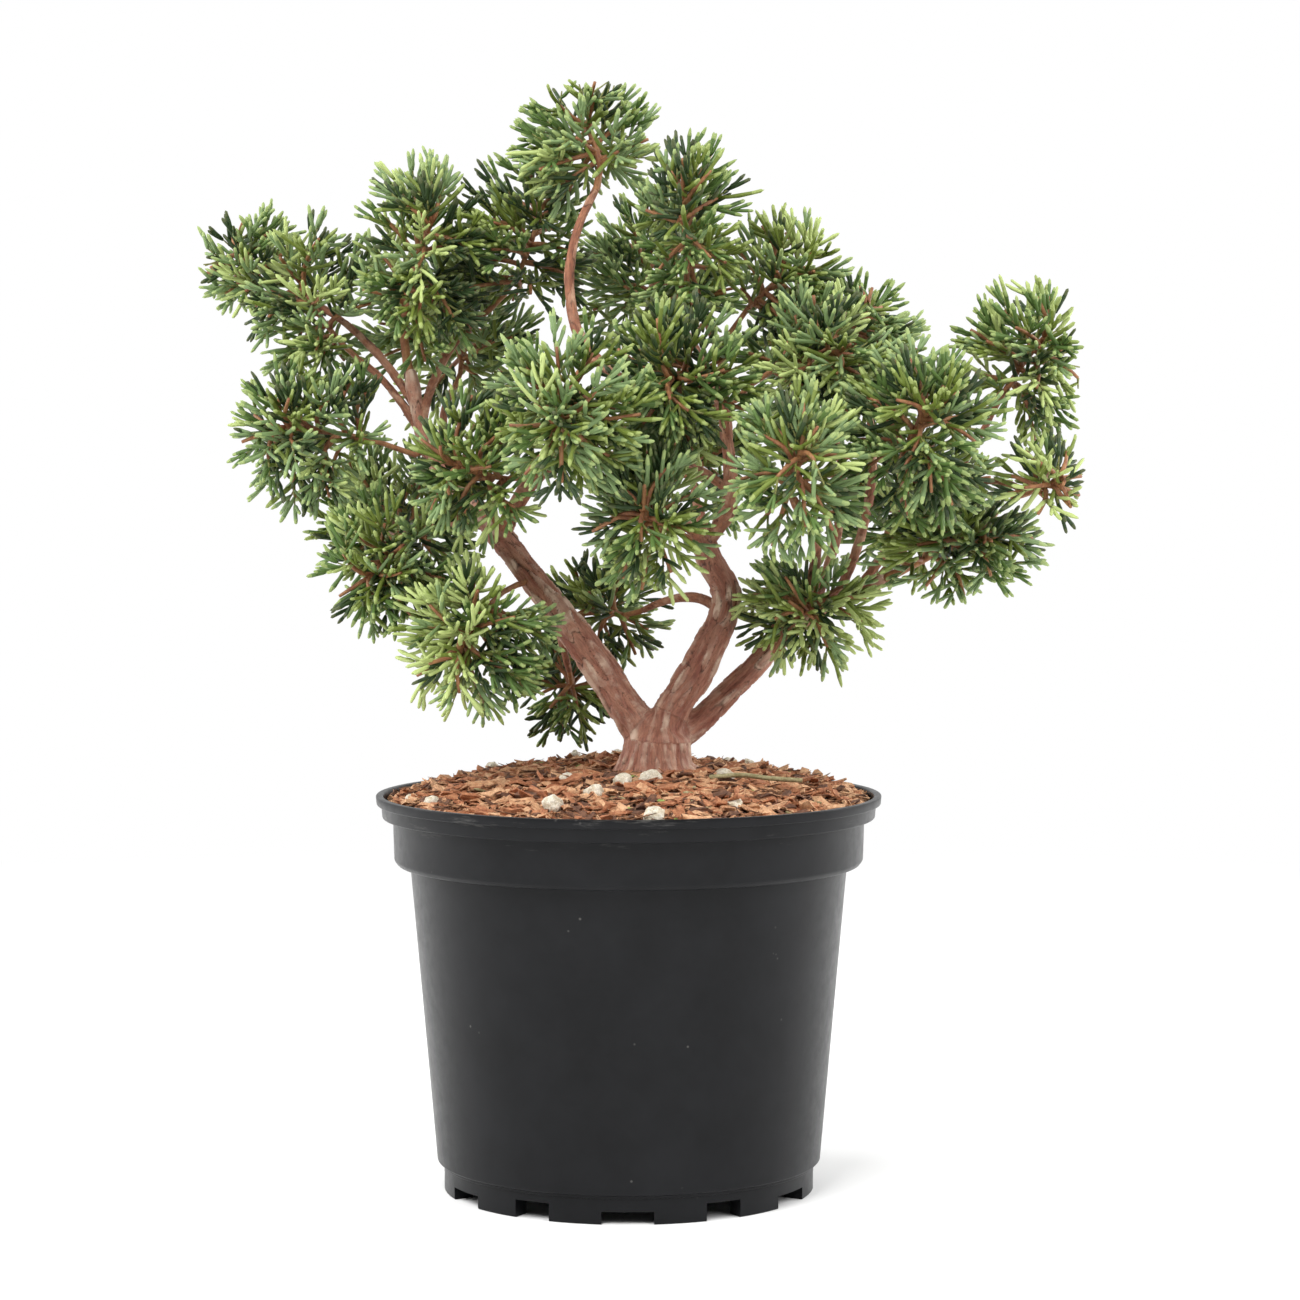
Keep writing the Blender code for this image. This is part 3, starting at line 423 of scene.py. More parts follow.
def faceted(route, spacing, lead=0):
    """The route drawn straight between cross sections about this far apart, so that its branches start in it.

    With a lead, one more cross section lies near each end.
    """
    count = max(2, round((len(route) - 1) * ROUTE_STEP / spacing) + 1)
    places = np.linspace(0, len(route) - 1, count).round().astype(int)
    places = np.unique((*places, lead, len(route) - 1 - lead))
    every = np.arange(len(route))
    return np.stack([np.interp(every, places, route[places, axis]) for axis in range(3)], axis=1)


def nearest_gap(points, radius, others, other_radii):
    """The least distance between balls of this radius at the points and the others."""
    if not len(others):
        return math.inf
    apart = np.linalg.norm(points[:, None] - others[None], axis=2)
    return float((apart - other_radii[None]).min() - radius)


def split_off(parent_parts, route, radii):
    """The place in the route of a branch at which its whole cross section is out of its parent."""
    ways, across = side_ways(route)
    others = np.vstack([part[0] for part in parent_parts])
    other_radii = np.concatenate([part[1] for part in parent_parts])
    for index in range(2, len(route) - 3):
        corners = np.array(ring(route[index], ways[index], across[index], radii[index], 12))
        if nearest_gap(corners, SEAT_GAP, others, other_radii) > 0:
            return index
    raise ValueError("a branch never leaves its parent")


def trimmed(route, radii, start):
    """The rest of a branch past its foot, 0.3 mm clear of it."""
    way = unit(route[start + 1] - route[start])
    rest = np.vstack((route[start] + way * CLEARANCE, route[start + 1:]))
    return rest, radii[start:]


def wandering(radii, seed):
    """The radii of a limb, a little thicker and thinner along it as old wood is."""
    rng = random.Random(seed)
    knots = [1 + rng.uniform(-KNOB, KNOB) for _ in range(max(3, len(radii) // 14))]
    share = np.linspace(0, len(knots) - 1, len(radii))
    wander = np.interp(share, range(len(knots)), knots)
    wander[-1] = wander[0] = 1.0
    return radii * wander


def lay_trunk():
    foot = np.array(TRUNK_FOOT)
    line = smooth_route((foot, foot + 4 * ROUTE_STEP * UP, TRUNK_FORK))
    share = np.linspace(0, 1, len(line))
    radii = np.interp(share, (0.0, 0.18, 0.45, 0.85, 1.0), TRUNK_RADII)
    return Limb(line, radii)


def branch_line(limbs, row):
    """The route and radii of a limb of LIMBS, from the middle line of its parent."""
    name, parent_name, place, points, ends = row
    parent = limbs[parent_name]
    start = parent.route[round(place * (len(parent.route) - 1))]
    route = smooth_route((start, *points))
    return route, wandering(np.linspace(*ends, len(route)), len(name))


def lay_limbs():
    """All the main limbs by name."""
    limbs = {"trunk": lay_trunk()}
    forks = {row[0]: branch_line(limbs, row) for row in LIMBS if row[1] == "trunk"}
    for row in LIMBS:
        name, parent_name, place, points, ends = row
        parent = limbs[parent_name]
        if place == 1.0:
            way = unit(parent.route[-1] - parent.route[-2])
            start = parent.route[-1] + way * TIP_CLEARANCE
            route = smooth_route((start, start + way * 4 * ROUTE_STEP, *points))
            limbs[name] = Limb(route, np.linspace(*ends, len(route)))
            continue
        route, radii = forks.get(name) or branch_line(limbs, row)
        family = [forks[other] for other in forks if name in forks and other != name]
        set_branch(limbs, parent, name, route, radii, family)
    return limbs


def set_branch(limbs, parent, name, route, radii, family=()):
    """Cuts a branch off where it is out of its parent and of the family that leaves it at the same place."""
    seat = split_off([(parent.route, parent.radii), *family], route, radii)
    limbs[name] = Limb(*trimmed(route, radii, seat), whole=(route, radii))
    return limbs[name]


def share_inside(mass, points):
    """How far out in a mass the points are, 1 being its surface."""
    return np.linalg.norm((points - np.array(mass.centre)) / np.array(mass.radii), axis=-1)


def lay_bough(limbs, mass):
    """Gives a mass its bough and the start of its stem."""
    parent = limbs[mass.limb]
    centre, reach = np.array(mass.centre), np.array(mass.radii)
    if mass.place == 1.0:
        set_stem(mass, parent.route[-1], unit(parent.route[-1] - parent.route[-3]), parent.radii[-1])
        return
    index = round(mass.place * (len(parent.route) - 1))
    start = parent.route[index]
    way = unit(parent.route[min(index + 4, len(parent.route) - 1)] - parent.route[index - 4])
    inward = unit((start - centre) / reach)
    entry = centre + reach * inward * BOUGH_ENTERS
    run = np.linalg.norm(entry - start)
    far = centre + (centre - entry) / BOUGH_ENTERS * STEM_REACH
    if run < SHORTEST_BOUGH or share_inside(mass, start) < 1:
        run = np.linalg.norm(far - start)
        route = bent_route(start, start + run * (0.2 * way + 0.3 * unit(far - start)), far)
        radii = np.linspace(STEM_RADII[0], STEM_RADII[1], len(route))
        seat = split_off([(parent.route, parent.radii)], route, radii)
        rest, rest_radii = trimmed(route, radii, seat)
        mass.stem = (faceted(rest, STEM_SPACING, LEAD), rest_radii)
        return
    control = start + run * (0.25 * way + 0.35 * unit(entry - start) + 0.06 * UP)
    route = bent_route(start, control, entry)
    thick = min(BOUGH_RADII[0] + 0.008 * run, 0.62 * parent.radii[index])
    radii = wandering(np.linspace(thick, BOUGH_RADII[1], len(route)), len(mass.name))
    bough = set_branch(limbs, parent, mass.name + "_bough", route, radii)
    set_stem(mass, bough.route[-1], unit(bough.route[-1] - bough.route[-3]), bough.radii[-1])


def set_stem(mass, tip, way, radius):
    """The stem of a mass: from just past its bough's tip, bending to the far half of the mass."""
    centre, reach = np.array(mass.centre), np.array(mass.radii)
    start = tip + way * TIP_CLEARANCE
    far = centre + reach * unit((centre - start) / reach) * STEM_REACH
    run = np.linalg.norm(far - start)
    route = bent_route(start, start + way * run * 0.45, far)
    thick = min(radius * 0.95, BOUGH_RADII[0])
    mass.stem = (faceted(route, STEM_SPACING, LEAD), np.linspace(thick, STEM_RADII[1], len(route)))


def keeps_space(mass, masses, points, radius, taken):
    """Whether these points, this thick, stay in the mass's own space and clear of all else."""
    own = share_inside(mass, points)
    if own.max() > 1.0:
        return False
    for other in masses:
        if other is mass:
            continue
        closer = share_inside(other, points) - own
        slack = (radius + LEAF_GAP) * (1 / min(mass.radii) + 1 / min(other.radii))
        if (closer < slack).any():
            return False
    return nearest_gap(points, radius + LEAF_GAP, *taken) > 0


def twig_lines(mass, count, rng, kind):
    """The lines of twigs leaving a mass's stem by golden-angle steps, the first ones nearest to its tip."""
    first, span, lean, ends = kind
    stem = mass.stem[0]
    ways, across = side_ways(stem)
    axis = unit(stem[-1] - stem[0])
    side = across[-1]
    other = np.cross(axis, side)
    turn = rng.uniform(0, 2 * math.pi)
    centre, reach = np.array(mass.centre), np.array(mass.radii)
    for index in range(count):
        forward = first - span * index / (count - 1)
        out = math.sqrt(1 - forward**2)
        aim = unit(forward * axis + out * turned(turn + index * GOLDEN_ANGLE, side, other))
        end = centre + reach * aim * rng.uniform(*ends)
        leaves = round((len(stem) - 1) * min(1.0, LEAVES_STEM[0] + LEAVES_STEM[1] * (forward + lean)))
        leaves = max(leaves, min(FIRST_TWIG, len(stem) - 1))
        start = stem[leaves]
        bend = TWIG_BEND[0] * ways[leaves] + TWIG_BEND[1] * unit(end - start) - mass.lift * UP
        yield bent_route(start, start + np.linalg.norm(end - start) * bend, end)


def grow_mass(mass, masses, taken, seed):
    """The twigs of a mass with their sprigs, as (route, sprigs), each sprig as (root, way, length)."""
    rng = random.Random(seed)
    for route in twig_lines(mass, mass.twigs, rng, FIRST_TWIGS):
        route = own_part(mass, masses, route, taken)
        if len(route) * ROUTE_STEP < SHORTEST_TWIG:
            continue
        route = faceted(route, TWIG_SPACING)
        mass.shoots.append((route, grow_sprigs(mass, masses, route, taken, rng)))


def own_part(mass, masses, route, taken):
    """The start of a twig, up to where it would leave the mass's space."""
    for index in range(3, len(route)):
        if not keeps_space(mass, masses, route[index : index + 1], 0.6 * CORE_RADIUS, taken):
            return route[:index]
    return route


def side_shoots(route, mass, rng, kind, length, step):
    """Shoots round a twig by golden-angle steps, each as (index, way, length, share along the twig)."""
    ways, across = side_ways(route)
    run = (len(route) - 1) * ROUTE_STEP
    share, least, kept = kind.bare
    angle = rng.uniform(0, 2 * math.pi)
    along = max(share * run, least)
    while along < run - kept:
        index = min(len(route) - 1, round(along / ROUTE_STEP))
        angle += GOLDEN_ANGLE
        out = turned(angle, across[index], np.cross(ways[index], across[index]))
        opening = math.radians(kind.angle[0] + rng.uniform(-kind.angle[1], kind.angle[1]))
        way = unit(turned(opening, ways[index], out) + kind.lift * mass.lift * UP)
        size = length * rng.uniform(*kind.sizes) * (1.15 - kind.taper * along / run)
        yield index, way, size, along / run
        along += step * rng.uniform(*kind.steps)


def grow_sprigs(mass, masses, route, taken, rng):
    """Sprigs round the outer part of a twig, with one at its tip."""
    sprigs = []
    for index, way, size, _ in side_shoots(route, mass, rng, SPRIGS, SPRIG_LENGTH, SPRIG_STEP):
        add_sprig(sprigs, mass, masses, taken, route[index] - way * SPRIG_SUNK, way, size)
    way = tangents(route)[-1]
    add_sprig(sprigs, mass, masses, taken, route[-1] - way * LAST_SUNK, way, SPRIG_LENGTH)
    return sprigs


def add_sprig(sprigs, mass, masses, taken, root, way, length):
    """Adds a sprig, shortened if need be to stay in its mass's space, or none."""
    for share in SPRIG_CUTS:
        shares = np.linspace(0.3, 1.0, SAMPLES)[:, None]
        points = root + way * length * share * shares
        if keeps_space(mass, masses, points, SPRIG_RADIUS * 0.8, taken):
            sprigs.append((root, way, length * share))
            return


def grow_all(limbs, masses):
    """Grows every mass, keeping each clear of the limbs, the other stems and the masses before it."""
    wood = [(limb.route, limb.radii) for limb in limbs.values()]
    for index, mass in enumerate(masses):
        others = [other.stem for other in masses if other is not mass]
        grown = [part for done in masses[:index] for part in samples(done)]
        parts = wood + others + grown
        taken = (np.vstack([part[0] for part in parts]), np.concatenate([part[1] for part in parts]))
        grow_mass(mass, masses, taken, SEED * 100 + index)


def samples(mass):
    """Points along all the twigs and sprigs of a grown mass, with their radii."""
    for route, sprigs in mass.shoots:
        yield route, np.full(len(route), CORE_RADIUS)
        for root, way, length in sprigs:
            points = root + way * length * np.linspace(0.1, 1, 10)[:, None]
            yield points, np.full(len(points), SPRIG_RADIUS * 0.9)


def lathe(profile, sides):
    """A bmesh of the closed (radius, height) profile turned once round Z."""
    bm = bmesh.new()
    corners = [bm.verts.new((radius, 0.0, height)) for radius, height in profile]
    edges = [bm.edges.new(pair) for pair in zip(corners, corners[1:])]
    if min(profile[0][0], profile[-1][0]) > 0:
        edges.append(bm.edges.new((corners[-1], corners[0])))
    bmesh.ops.spin(
        bm, geom=corners + edges, cent=(0, 0, 0), axis=(0, 0, 1), angle=2 * math.pi, steps=sides,
        use_merge=True, use_duplicate=False,
    )
    bmesh.ops.remove_doubles(bm, verts=bm.verts, dist=1e-6)
    bmesh.ops.recalc_face_normals(bm, faces=bm.faces)
    return bm


def box(bm, width, depth, height, angle, radius):
    """Adds a box with its underside below the ground, its middle at this radius and angle round Z."""
    made = bmesh.ops.create_cube(bm, size=1.0)["verts"]
    bmesh.ops.scale(bm, vec=(depth, width, 2 * height), verts=made)
    bmesh.ops.translate(bm, vec=(radius, 0, 0), verts=made)
    bmesh.ops.rotate(bm, cent=(0, 0, 0), matrix=Matrix.Rotation(angle, 3, "Z"), verts=made)


def skin(route, radii, sides, swell=1.0):
    """Points, quads and triangles of a closed tube; swell scales its radius at each ring and side."""
    ways, across = side_ways(route)
    other = np.cross(ways, across)
    angles = 2 * np.pi * np.arange(sides) / sides
    reach = np.broadcast_to(radii[:, None] * swell, (len(route), sides))
    out = across[:, None] * np.cos(angles)[None, :, None] + other[:, None] * np.sin(angles)[None, :, None]
    verts = (route[:, None] + out * reach[:, :, None]).reshape(-1, 3)
    rows = np.arange(len(route) - 1)[:, None] * sides
    here, after = np.arange(sides), (np.arange(sides) + 1) % sides
    quads = np.stack([rows + here, rows + after, rows + sides + after, rows + sides + here], axis=-1)
    foot, tip = np.full(sides, len(verts)), np.full(sides, len(verts) + 1)
    last = (len(route) - 1) * sides
    ends = np.stack([foot, after, here], axis=-1), np.stack([tip, last + here, last + after], axis=-1)
    return np.vstack((verts, route[0], route[-1])), quads.reshape(-1, 4), np.vstack(ends)


def grain_places(route, radii, sides):
    """The points of a tube as if its route were straight, up from the ground."""
    angles = 2 * np.pi * np.arange(sides)[None] / sides
    steps = np.linalg.norm(np.diff(route, axis=0), axis=1)
    along = np.concatenate(([0], np.cumsum(steps)))[:, None]
    radii = radii[:, None]
    return np.stack([radii * np.cos(angles), radii * np.sin(angles), along + 0 * angles], axis=-1)


def joined(parts):
    """Many skins as one."""
    columns, count = [[], [], []], 0
    for verts, quads, tris in parts:
        for column, values in zip(columns, (verts, quads + count, tris + count)):
            column.append(values)
        count += len(verts)
    return tuple(np.concatenate(column) for column in columns)


def piece(name, slot, looks, verts, faces, marks=None, smooth=True):
    """A joined mesh of the plant from arrays of points and faces, in the given materials, riding with it.

    faces is a list of arrays, each of faces with as many sides; marks says which material each face takes.
    """
    faces = [np.asarray(group, np.int32) for group in faces if len(group)]
    sizes = np.concatenate([np.full(len(group), group.shape[1], np.int32) for group in faces])
    mesh = bpy.data.meshes.new(name)
    mesh.vertices.add(len(verts))
    mesh.vertices.foreach_set("co", np.asarray(verts, np.float32).ravel())
    mesh.loops.add(int(sizes.sum()))
    mesh.loops.foreach_set("vertex_index", np.concatenate([group.ravel() for group in faces]))
    mesh.polygons.add(len(sizes))
    starts = np.concatenate(([0], np.cumsum(sizes)[:-1])).astype(np.int32)
    mesh.polygons.foreach_set("loop_start", starts)
    mesh.polygons.foreach_set("use_smooth", np.full(len(sizes), smooth))
    if marks is not None:
        mesh.polygons.foreach_set("material_index", np.asarray(marks, np.int32))
    mesh.update(calc_edges=True)
    for look in looks:
        mesh.materials.append(look)
    return placed(name, mesh, slot)


def shown(name, data, place=(0, 0, 0), turn=(0, 0, 0)):
    """A new object in the scene."""
    made = bpy.data.objects.new(name, data)
    made.location, made.rotation_euler = place, turn
    bpy.context.scene.collection.objects.link(made)
    return made


def placed(name, mesh, slot):
    """A piece that rides with the plant; its slot argument is not used."""
    made = shown(name, mesh)
    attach(made, BODY)
    return made


def skins_piece(name, slot, look, skins):
    """Many skins as one piece in this material."""
    verts, quads, tris = joined(skins)
    return piece(name, slot, [look], verts, [quads, tris])


def add_marks(made, grain, raised, crack):
    """Stores where each point lies along the wood, how far its flake stands out and how deep its crack is."""
    for name, kind, key, values in (
        ("grain", "FLOAT_VECTOR", "vector", grain),
        ("raised", "FLOAT", "value", raised),
        ("crack", "FLOAT", "value", crack),
    ):
        mark = made.data.attributes.new(name, kind, "POINT")
        mark.data.foreach_set(key, np.asarray(values, np.float32).ravel())


def mesh_piece(name, slot, look, bm):
    """A piece of the plant from a bmesh."""
    mesh = bpy.data.meshes.new(name)
    bm.to_mesh(mesh)
    bm.free()
    mesh.materials.append(look)
    mesh.shade_smooth()
    return placed(name, mesh, slot)


# Materials


def shader_of(name, roughness):
    """A new material with its node tree and its Principled shader."""
    made = bpy.data.materials.new(name)
    made.use_nodes = True
    shader = made.node_tree.nodes["Principled BSDF"]
    shader.inputs["Roughness"].default_value = roughness
    return made, made.node_tree, shader


def put(tree, kind, values=(), **settings):
    """A shader node with these settings, and these values or sockets in its inputs."""
    made = tree.nodes.new(kind)
    for key, value in settings.items():
        setattr(made, key, value)
    for key, value in dict(values).items():
        if isinstance(value, bpy.types.NodeSocket):
            tree.links.new(value, made.inputs[key])
        else:
            made.inputs[key].default_value = value
    return made


def maths(tree, operation, *values, clamped=False):
    """The result of a maths node on these numbers or sockets."""
    return put(tree, "ShaderNodeMath", enumerate(values), operation=operation, use_clamp=clamped).outputs[0]


def mixed(tree, factor, first, second, blend="MIX"):
    """A mix of two sockets or colours by a socket or value."""
    first, second = ((*part, 1) if isinstance(part, tuple) else part for part in (first, second))
    values = {"Factor": factor, "A": first, "B": second}
    return put(tree, "ShaderNodeMix", values, data_type="RGBA", blend_type=blend).outputs["Result"]


def spread(tree, source, low, high, to_low=0.0, to_high=1.0):
    """The socket's values from low to high, put onto another span."""
    spans = {"Value": source, "From Min": low, "From Max": high, "To Min": to_low, "To Max": to_high}
    return put(tree, "ShaderNodeMapRange", spans).outputs["Result"]


def noise(tree, places, scale, detail=2.0, roughness=0.5):
    """Smooth noise over these places, about this many of its lumps to a metre."""
    values = {"Vector": places, "Scale": scale, "Detail": detail, "Roughness": roughness}
    return put(tree, "ShaderNodeTexNoise", values).outputs["Fac"]


def scaled(tree, places, scale):
    """The places drawn out or in along each axis."""
    return put(tree, "ShaderNodeMapping", {"Vector": places, "Scale": scale}).outputs["Vector"]


def object_places(tree):
    """The object's own coordinates."""
    return put(tree, "ShaderNodeTexCoord").outputs["Object"]


def patches_group():
    """A shared node group: soft-edged patches, a finer grain, and a height made of both."""
    name = "patches"
    if name in bpy.data.node_groups:
        return bpy.data.node_groups[name]
    tree = bpy.data.node_groups.new(name, "ShaderNodeTree")
    for label, kind in (("Vector", "Vector"), ("Scale", "Float"), ("Edge", "Float")):
        tree.interface.new_socket(label, in_out="INPUT", socket_type="NodeSocket" + kind)
    for label in ("Mask", "Fine", "Height"):
        tree.interface.new_socket(label, in_out="OUTPUT", socket_type="NodeSocketFloat")
    places, scale, edge = put(tree, "NodeGroupInput").outputs[:3]
    broad = noise(tree, places, scale, 5.0, 0.62)
    fine = noise(tree, places, maths(tree, "MULTIPLY", scale, FINER), 3.0, 0.7)
    centred = maths(tree, "SUBTRACT", broad, 0.5)
    mask = maths(tree, "MULTIPLY_ADD", centred, edge, 0.5, clamped=True)
    height = maths(tree, "MULTIPLY_ADD", fine, 0.5, mask)
    put(tree, "NodeGroupOutput", {"Mask": mask, "Fine": fine, "Height": height})
    return tree


def patches(tree, places, scale, edge):
    """The patches over these places, scale of them to a metre."""
    values = {"Vector": places, "Scale": scale, "Edge": edge}
    return put(tree, "ShaderNodeGroup", values, node_tree=patches_group())


def finish(tree, shader, group, colour, roughness, bump, depth):
    """Gives a shader its colour and roughness, and a bump from the patches."""
    values = {"Strength": bump, "Distance": depth, "Height": group.outputs["Height"]}
    normal = put(tree, "ShaderNodeBump", values).outputs["Normal"]
    for label, socket in (("Base Color", colour), ("Roughness", roughness), ("Normal", normal)):
        tree.links.new(socket, shader.inputs[label])


def patched(name, dark, light, roughness, scale, edge=5.0, bump=0.3, stretch=(1, 1, 1), grain=False):
    """A material in patches of two colours with a finer grain, and the parts of its tree to add to."""
    made, tree, shader = shader_of(name, roughness)
    places = marked(tree, "grain").outputs["Vector"] if grain else object_places(tree)
    group = patches(tree, scaled(tree, places, stretch), scale, edge)
    shading = spread(tree, group.outputs["Fine"], 0.3, 0.7, *SHADING)
    grey = put(tree, "ShaderNodeCombineColor", dict.fromkeys(range(3), shading)).outputs["Color"]
    colour = mixed(tree, 1.0, mixed(tree, group.outputs["Mask"], dark, light), grey, "MULTIPLY")
    rough = spread(tree, group.outputs["Fine"], 0.25, 0.75, roughness - 0.1, min(1.0, roughness + 0.12))
    finish(tree, shader, group, colour, rough, bump, 0.0006)
    return made, tree, shader, colour


def marked(tree, name):
    """The node that reads one of the bark's own attributes."""
    return put(tree, "ShaderNodeAttribute", attribute_name=name)


def patched_look(name):
    """The material of this name in PATCHED."""
    return patched(name, *PATCHED[name])[0]


def bark_material(name, hollow, inner, flake, scale):
    """Bark that runs along the wood: reddish where it has peeled, paler on its flakes, dark in the cracks."""
    made, tree, shader, colour = patched(name, *inner, 0.78, scale, 4.0, 0.6, (1, 1, 0.25), True)
    grain, raised, crack = (marked(tree, mark) for mark in ("grain", "raised", "crack"))
    blotch = noise(tree, grain.outputs["Vector"], scale * 0.35, 4.0, 0.6)
    raised = spread(tree, raised.outputs["Fac"], -0.3, 0.8)
    pale = maths(tree, "MULTIPLY", raised, spread(tree, blotch, 0.40, 0.62, 0.05, 0.95), clamped=True)
    deep = spread(tree, crack.outputs["Fac"], 0.35, 1.0, 0.0, 0.9)
    colour = mixed(tree, deep, mixed(tree, pale, colour, flake), hollow)
    tree.links.new(colour, shader.inputs["Base Color"])
    return made


def plastic_material(looks):
    """Black moulded plastic with a satin sheen: slight blotches, a few specks, pale scuffs on the collar."""
    made, tree, shader = shader_of("satin_plastic", 0.34)
    shader.inputs["Specular IOR Level"].default_value = 0.13
    places = object_places(tree)
    group = patches(tree, places, 38, 2.5)
    darker, lighter = (tuple(share * part for part in looks.plastic) for share in (0.75, 1.3))
    colour = mixed(tree, group.outputs["Mask"], darker, lighter)
    cells = put(tree, "ShaderNodeTexVoronoi", {"Vector": places, "Scale": 150.0}).outputs["Distance"]
    cells = spread(tree, cells, 0.04, 0.09, 0.22, 0.0)
    specks = maths(tree, "MULTIPLY", cells, spread(tree, noise(tree, places, 45.0), 0.58, 0.66))
    streaks = noise(tree, scaled(tree, places, (30.0, 30.0, 240.0)), 1.0, 6.0, 0.75)
    streaks = spread(tree, streaks, 0.60, 0.78, 0.0, 0.35)
    height = put(tree, "ShaderNodeSeparateXYZ", {"Vector": places}).outputs["Z"]
    scuffs = maths(tree, "MULTIPLY", streaks, spread(tree, height, BAND_TOP - 0.006, BAND_TOP + 0.002))
    for marks in (specks, scuffs):
        colour = mixed(tree, marks, colour, tuple(looks.dust))
    rough = spread(tree, group.outputs["Fine"], 0.3, 0.7, 0.29, 0.38)
    finish(tree, shader, group, colour, rough, 0.04, 0.0004)
    return made


def needle_material(name, colour):
    """One plain green of scale leaves, or the dark green of painted shade inside the crown."""
    made, _, shader = shader_of("scale_leaves_" + name, 0.5)
    shader.inputs["Base Color"].default_value = (*colour, 1)
    shader.inputs["Specular IOR Level"].default_value = 0.3
    return made


# Growth


@cache
def grown_plant():
    """The limbs, with the masses given all that the solids hold, by the same rule and the same draws."""
    limbs = lay_limbs()
    for mass in MASSES:
        lay_bough(limbs, mass)
    grow_all(limbs, MASSES)
    return limbs


def in_space(mass, points, most):
    """Which points lie in a mass's own space, out to this share of its radii."""
    own = share_inside(mass, points)
    keeps = own <= most
    for other in MASSES:
        if other is not mass:
            keeps &= own <= share_inside(other, points) + SHARING
    return keeps


def finer_twigs(mass, wood, count, seed):
    """More twigs for a mass by the rule of its first ones, each cut where it would leave it or meet wood."""
    found = []
    for route in twig_lines(mass, count, random.Random(seed), FINER_TWIGS):
        bad = ~in_space(mass, route, 0.97)
        bad |= (np.linalg.norm(route[:, None] - wood[0][None], axis=2) - wood[1][None]).min(axis=1) < WOOD_GAP
        bad[:4] = False
        stop = int(np.argmax(bad)) if bad.any() else len(route)
        if stop * ROUTE_STEP >= SHORTEST_TWIG:
            found.append(route[:stop])
    return found


def plumes_on(twig, mass, looks, rng):
    """The plumes along a twig, as (line, share along the twig)."""
    ways, sizes = tangents(twig), (looks.plume_length, looks.plume_step)
    found = [
        (plume_line(twig[index], way, ways[index], size), share)
        for index, way, size, share in side_shoots(twig, mass, rng, PLUMES, *sizes)
    ]
    found.append((plume_line(twig[-1], ways[-1], ways[-1] + 0.3 * UP, looks.plume_length * 0.8), 1.0))
    return found


def plume_line(root, way, bend, length):
    share = np.linspace(0, 1, PLUME_POINTS)[:, None]
    return root + way * length * share + bend * length * PLUME_BEND * share**2


def cords_on(line, colour, looks, rng, cords):
    """Adds the cords of scale leaves of a plume, each as (root, way, bend, length, colour)."""
    length = np.linalg.norm(np.diff(line, axis=0), axis=1).sum()
    way = unit(line[-1] - line[0])
    flat = unit(np.cross(way, UP + 0.01) + 0.4 * np.array([rng.uniform(-1, 1) for _ in range(3)]))
    flat = unit(flat - way * flat.dot(way))
    up = np.cross(way, flat)
    count = max(3, round(length / looks.cord_step))
    for index, share in enumerate(np.linspace(0.08, 0.97, count)):
        place = share * (len(line) - 1)
        low = min(int(place), len(line) - 2)
        root = line[low] + (line[low + 1] - line[low]) * (place - low)
        ahead = unit(line[low + 1] - line[low])
        turn = index % 2 * math.pi + rng.uniform(-0.9, 0.9) + (math.pi / 2 if index % 4 == 3 else 0)
        opening = math.radians(CORD_ANGLE * (1.12 - 0.55 * share) + rng.uniform(-9, 9))
        cord = turned(opening, ahead, turned(turn, flat, up))
        size = looks.cord_length * rng.uniform(0.68, 1.2) * (1.15 - 0.5 * share)
        bend = ahead + 0.35 * UP + 0.5 * np.array([rng.uniform(-1, 1) for _ in range(3)])
        inner = share < 0.3 and colour != "lime" and rng.random() < 0.55
        cords.append((root, cord, bend, size, "olive" if inner else colour))
    cords.append((line[-1], way, way + 0.3 * UP, looks.cord_length * 0.62, colour))


def cord_skins(cords, looks, seed):
    """Cords of scale leaves as points, faces, their materials and the tips, from rings of scales."""
    spins = np.random.default_rng(seed).random(len(cords))
    root, way, bend, size = (np.array([cord[part] for cord in cords]) for part in range(4))
    way = way / np.linalg.norm(way, axis=1)[:, None]
    side = np.cross(way, (0.37, 0.81, 0.45))
    side /= np.linalg.norm(side, axis=1)[:, None]
    other = np.cross(way, side)
    thick = looks.cord_radius * (0.75 + 0.35 * size / looks.cord_length) * (0.88 + 0.24 * spins)
    rings = []
    for step, (share, swell) in enumerate(zip(CORD_SHARES, CORD_SWELL)):
        middle = root + way * (size * share)[:, None] + bend * (size * CORD_BEND * share**2)[:, None]
        angles = 2 * np.pi * (spins[:, None] + (np.arange(CORD_SIDES)[None] + step / 2) / CORD_SIDES)
        out = side[:, None] * np.cos(angles)[..., None] + other[:, None] * np.sin(angles)[..., None]
        rings.append(middle[:, None] + out * (thick * swell)[:, None, None])
    tip = root + way * size[:, None] + bend * (size * CORD_BEND)[:, None]
    verts = np.concatenate((*rings, tip[:, None]), axis=1)
    last = (len(rings) - 1) * CORD_SIDES
    pairs = [(index, (index + 1) % CORD_SIDES) for index in range(CORD_SIDES)]
    faces = []
    for low in range(0, last, CORD_SIDES):
        for here, after in pairs:
            faces.append((low + here, low + after, low + CORD_SIDES + here))
            faces.append((low + after, low + CORD_SIDES + after, low + CORD_SIDES + here))
    faces += [(last + here, last + after, last + CORD_SIDES) for here, after in pairs]
    marks = np.zeros(len(faces) + 2, np.int32)
    marks[-2 - 3 * CORD_SIDES : -2] = 1
    faces += [(0, 3, 2), (0, 2, 1)]
    every = np.array(faces)[None] + verts.shape[1] * np.arange(len(cords))[:, None, None]
    return verts.reshape(-1, 3), every.reshape(-1, 3), np.tile(marks, len(cords)), tip


